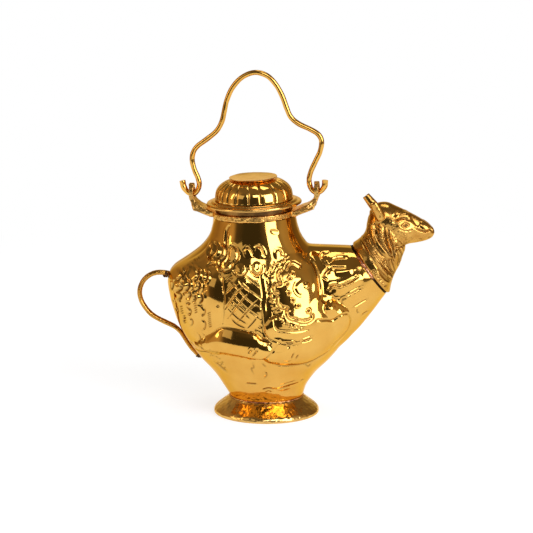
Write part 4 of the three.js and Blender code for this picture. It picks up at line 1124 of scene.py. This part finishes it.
seam_braze_and_gap_shade_finish = brass("seam_braze_and_gap_shade", tone=(0.62, 0.30, 0.14), clouded=(0.36, 0.13, 0.07),
                    tarnished=(0.006, 0.004, 0.003), cloud_size=9, polish=0.26, dullness=0.12,
                    hammer_size=1.5, hammer_depth=0.12, grain_depth=0.03)
add_piece("head_braze_bead", seam_bead, seam_braze_and_gap_shade_finish, "pot", "head_braze", seam_frame)

# Mouth plate.
# A rough sand casting, a ring with two arms bent up into lugs. Only its upper faces were filed,
# and its edges keep the skin of the sand.
plate_finish = brass("plate_brass", tone=(0.80, 0.46, 0.12), clouded=(0.68, 0.35, 0.08), cloud_size=5,
                     polish=0.2, dullness=0.14, hammer_size=2.2, hammer_depth=0.14, grain_size=0.6,
                     grain_depth=0.03)
plate_place = pot_frame @ mouth_frame
plate_mesh = worked_copy("mouth_plate", 0.42, 10, plate_place)
hinge_rise = 15.25
lug_reach = 43.9


def cast_skin(points, normals):
    """Where the skin of the sand is left, which fades towards the eyes"""
    out = np.hypot(points[:, 0], points[:, 1])
    filed = smoothstep(normals[:, 2], 0.55, 0.9) + smoothstep(-np.abs(out - 41.5), -0.9, 0)
    eye = np.hypot(out - lug_reach, points[:, 2] - hinge_rise)
    return (1 - 0.8 * np.clip(filed, 0, 1)) * smoothstep(eye, 3.2, 6)


# the ring's upper edge is filed down between the arms
points = points_of(plate_mesh)
points[:, 2] -= 1.3 * smoothstep(points[:, 2], 1.5, 5) * smoothstep(-np.abs(points[:, 0]), -36, -26)
set_points(plate_mesh, points)
plate_away = roughened(plate_mesh, [(4.5, 0.35, 7), (1.4, 0.16, 8), (0.8, 0.12, 9)], cast_skin)
set_tarnish(plate_mesh, -plate_away * 3.2)
add_piece("mouth_plate_cast", plate_mesh, plate_finish, "pot", "mouth_plate", plate_place,
          crease=70)

# Mouth sleeve.
# A short spun collar standing in the ring of the plate; the lid rests on its edge.
sleeve_low, sleeve_high = -0.8, 8.3
# the sleeve's brass is painted dark brown as painted shade of the gap under the lid flange
sleeve_shade_finish = brass("sleeve_painted_shade_brass", tone=(0.34, 0.17, 0.045), clouded=(0.10, 0.05, 0.018),
                      cloud_size=16, polish=0.22, dullness=0.2, grain_size=0.6, grain_depth=0.02)
sleeve_form = spun([(25.2, sleeve_low), (26.4, sleeve_low), (26.4, 8.1), (26.2, sleeve_high),
                    (25.4, sleeve_high), (25.2, 8.1)], 120)
add_piece("mouth_sleeve_spun", sleeve_form, sleeve_shade_finish, "pot", "mouth_sleeve",
          plate_place)

# Lid flange with its bead, and the plug under it.
# Spun sheet, its edge satin from wear; the plug centres the lid in the sleeve.
lid_place = plate_place @ Matrix.Translation((0, 0, 8.6))
lid_worn_place = lid_place @ Matrix.Translation((0.35, 0, 0))
flange_form = spun([
    (23.6, 0), (31.6, 0), (31.9, -0.1), (32.1, -0.35), (32.5, -0.45), (33.0, -0.4), (33.2, -0.1),
    (33.15, 0.6), (32.8, 1.15), (32.2, 1.4), (30.8, 1.4), (30.3, 1.55), (30.0, 1.9), (29.6, 2.5),
    (28.9, 2.85), (28.2, 2.9), (23.6, 2.9)], 150)
for vert in flange_form.verts:
    if vert.co.xy.length > 28:
        vert.co.z += noise.noise(vert.co / 22) * 0.25
        vert.co.xy *= 1 + noise.noise(vert.co / 17 + Vector((3, 8, 1))) * 0.006
flange_finish = brass("flange_brass", tone=(0.78, 0.455, 0.125), clouded=(0.66, 0.35, 0.085),
                      cloud_size=11, polish=0.16, dullness=0.14, hammer_size=8, hammer_depth=0.06,
                      grain_size=0.6, grain_depth=0.012)
add_piece("lid_flange_spun", flange_form, flange_finish, "lid", "lid_flange",
          lid_worn_place)
plug_finish = brass("spun_brass", polish=0.09, dullness=0.05, hammer_size=14, hammer_depth=0.06,
                    cloud_size=18, grain_size=0.6, grain_depth=0.006)
plug_form = spun([(23.6, -8), (24.8, -8), (24.8, -0.3), (23.6, -0.3)], 120)
add_piece("lid_plug_spun", plug_form, plug_finish, "lid", "lid_plug", lid_place)

# Lid dome.
# Spun, then fluted by hand into lobes of uneven width, with a narrow groove between each two.
dome_low, dome_high = 3.2, 16.6
crown_radius = 14.8
dome_outside = through([(27.3, dome_low), (27.2, 5.2), (26.7, 8.2), (25.6, 10.7), (23.8, 12.9),
                        (21.3, 14.8), (18.2, 16.1), (15.0, dome_high)], 9)
dome_inside = [(8, dome_high), (0, dome_high), (0, 15.4), (14.4, 15.4), (17.6, 14.9), (20.6, 13.7),
               (22.9, 11.9), (24.6, 9.6), (25.7, 6.6), (26.0, dome_low)]
dome_form = spun([*map(tuple, dome_outside), *dome_inside], 330)
flutes = np.radians([-65, -54, -42, -26.5, -7.6, 10.4, 34.3, 54, 71, 88, 105, 122, 138, 155, 172, 189,
                     206, 222, 238, 254, 270, 283])
mask = dome_form.verts.layers.float.new("tarnish")
for vert in dome_form.verts:
    radius = vert.co.xy.length
    inside = math.hypot(radius, (vert.co.z - dome_low) * 1.9) < 26.6
    if radius < crown_radius or vert.co.z < dome_low + 0.2 or inside:
        continue
    round_at = math.atan2(vert.co.x, -vert.co.y)
    spans = (flutes - round_at + math.pi) % math.tau - math.pi
    nearest = np.abs(spans).min()
    after = spans[spans > 0].min() if (spans > 0).any() else spans.max()
    before = -spans[spans <= 0].max() if (spans <= 0).any() else -spans.min()
    lobe = math.sin(math.pi * before / (before + after))
    groove = math.exp(-(nearest * radius / 0.5) ** 2)
    fade = float(smoothstep(radius, 14.9, 15.9) * smoothstep(vert.co.z, dome_low + 0.2, dome_low + 1.2))
    sunk = fade * (0.16 * (1 - lobe) + 0.6 * groove)
    steep = radius * 0.8 * float(smoothstep(-radius, -24, -18))
    vert.co -= Vector((vert.co.x * 0.6, vert.co.y * 0.6, steep)).normalized() * sunk
    vert[mask] = 0.95 * groove * fade
bmesh.ops.recalc_face_normals(dome_form, faces=dome_form.faces)
dome_finish = brass("dome_brass", tone=(0.88, 0.51, 0.12), clouded=(0.80, 0.43, 0.09), cloud_size=14,
                    hammer_size=6, grain_size=0.6)
add_piece("lid_dome_fluted", dome_form, dome_finish, "lid", "lid_dome", lid_worn_place,
          crease=60)

# Lid saucer.
# A thin dished disc brazed on the crown as the grip, satin on top, on a low stem with beaded filler.
saucer_form = spun([
    (0, 16.9), (13.6, 16.9), (14.6, 17.0), (14.9, 17.3), (14.7, 17.6), (15.6, 17.75), (16.6, 18.0),
    (16.85, 18.3), (16.6, 18.6), (15.6, 18.5), (13.6, 18.2), (9.0, 17.95), (4.0, 17.85), (0, 17.85)],
                   150)
for vert in saucer_form.verts:
    radius = vert.co.xy.length
    if radius > 1:
        wobble = noise.noise(Vector((vert.co.x, vert.co.y, 0)) / 9 + Vector((5, 2, 7)))
        beaded = 0.03 * noise.noise(vert.co / 1.3) if vert.co.z < 17.65 and radius > 13 else 0
        share = float(smoothstep(radius, 12, 16.8))
        vert.co.xy *= 1 + share * wobble * 0.022 + beaded
        vert.co.z += share * noise.noise(vert.co / 12) * 0.35
saucer_finish = brass("saucer_brass", tone=(0.92, 0.60, 0.21), clouded=(0.86, 0.52, 0.16), cloud_size=8,
                      polish=0.27, dullness=0.06, hammer_size=7, hammer_depth=0.08, grain_size=0.5,
                      grain_depth=0.010)
add_piece("lid_saucer_dished", saucer_form, saucer_finish, "lid", "lid_saucer",
          lid_worn_place)

# Bail.
# One length of drawn wire bent by hand over pegs, its ends turned into open hooks and cut square.
bail_line = np.array([
    (-50.4, 9.6), (-49.6, 5.3), (-47.3, 1.7), (-43.9, 0), (-40.7, 1.6), (-38.6, 6.2), (-39.3, 11.3),
    (-41.5, 17), (-42.8, 23.3), (-42.0, 29), (-38.7, 33.8), (-31.8, 38.7), (-24.9, 44.2), (-20.9, 50.6),
    (-18.9, 57.5), (-16.8, 65.4), (-12.5, 74.2), (-5.5, 81.4), (3.5, 84.7), (12.0, 82.3), (18.0, 75.9),
    (22.1, 67.9), (24.9, 59.4), (27.6, 53.1), (32.9, 48.4), (40.7, 44.5), (46.1, 40.9), (48.3, 36),
    (47.0, 28.9), (43.6, 22), (40.3, 15.2), (38.7, 9.4), (39.2, 4.6), (41.0, 1.4), (43.9, 0),
                      (47.0, 1.4),
    (49.3, 4.6), (49.8, 8.6)])
wire_radius = 1.8
bail_turn = Matrix.Rotation(math.radians(-8), 4, "Z")
bail_place = plate_place @ bail_turn @ Matrix.Translation((0.8, 0, hinge_rise))


def wire_shape(along, across, t):
    """Round wire, a little uneven, flattened and swollen towards its cut ends"""
    middle, ahead, behind = (np.stack([spline(bail_line[:, k], at) for k in (0, 1)])
                             for at in (t, np.clip(t + 0.001, 0, 1), np.clip(t - 0.001, 0, 1)))
    course = ahead - behind
    course /= np.hypot(*course)
    end = np.minimum(t, 1 - t)
    squashed = 1 + 0.12 * (1 - smoothstep(end, 0.02, 0.09))
    thick = wire_radius * (1 + 0.02 * np.sin(t * 90) + 0.015 * np.sin(t * 213 + 1))
    thick = thick * (1 + 0.16 * (1 - smoothstep(end, 0.03, 0.055)))
    return np.stack([middle[0] - course[1] * thick * along, thick * across * squashed,
                     middle[1] + course[0] * thick * along], axis=1)


wire_finish = brass("wire_brass", tone=(0.80, 0.44, 0.085), cloud_size=12, polish=0.10, dullness=0.08,
                    hammer_size=4, grain_size=0.9, grain_depth=0.008)
bail_form = formed(28, 420, wire_shape)
add_piece("bail_bent_wire", bail_form, wire_finish, "bail", "bail_wire", bail_place,
          crease=50)
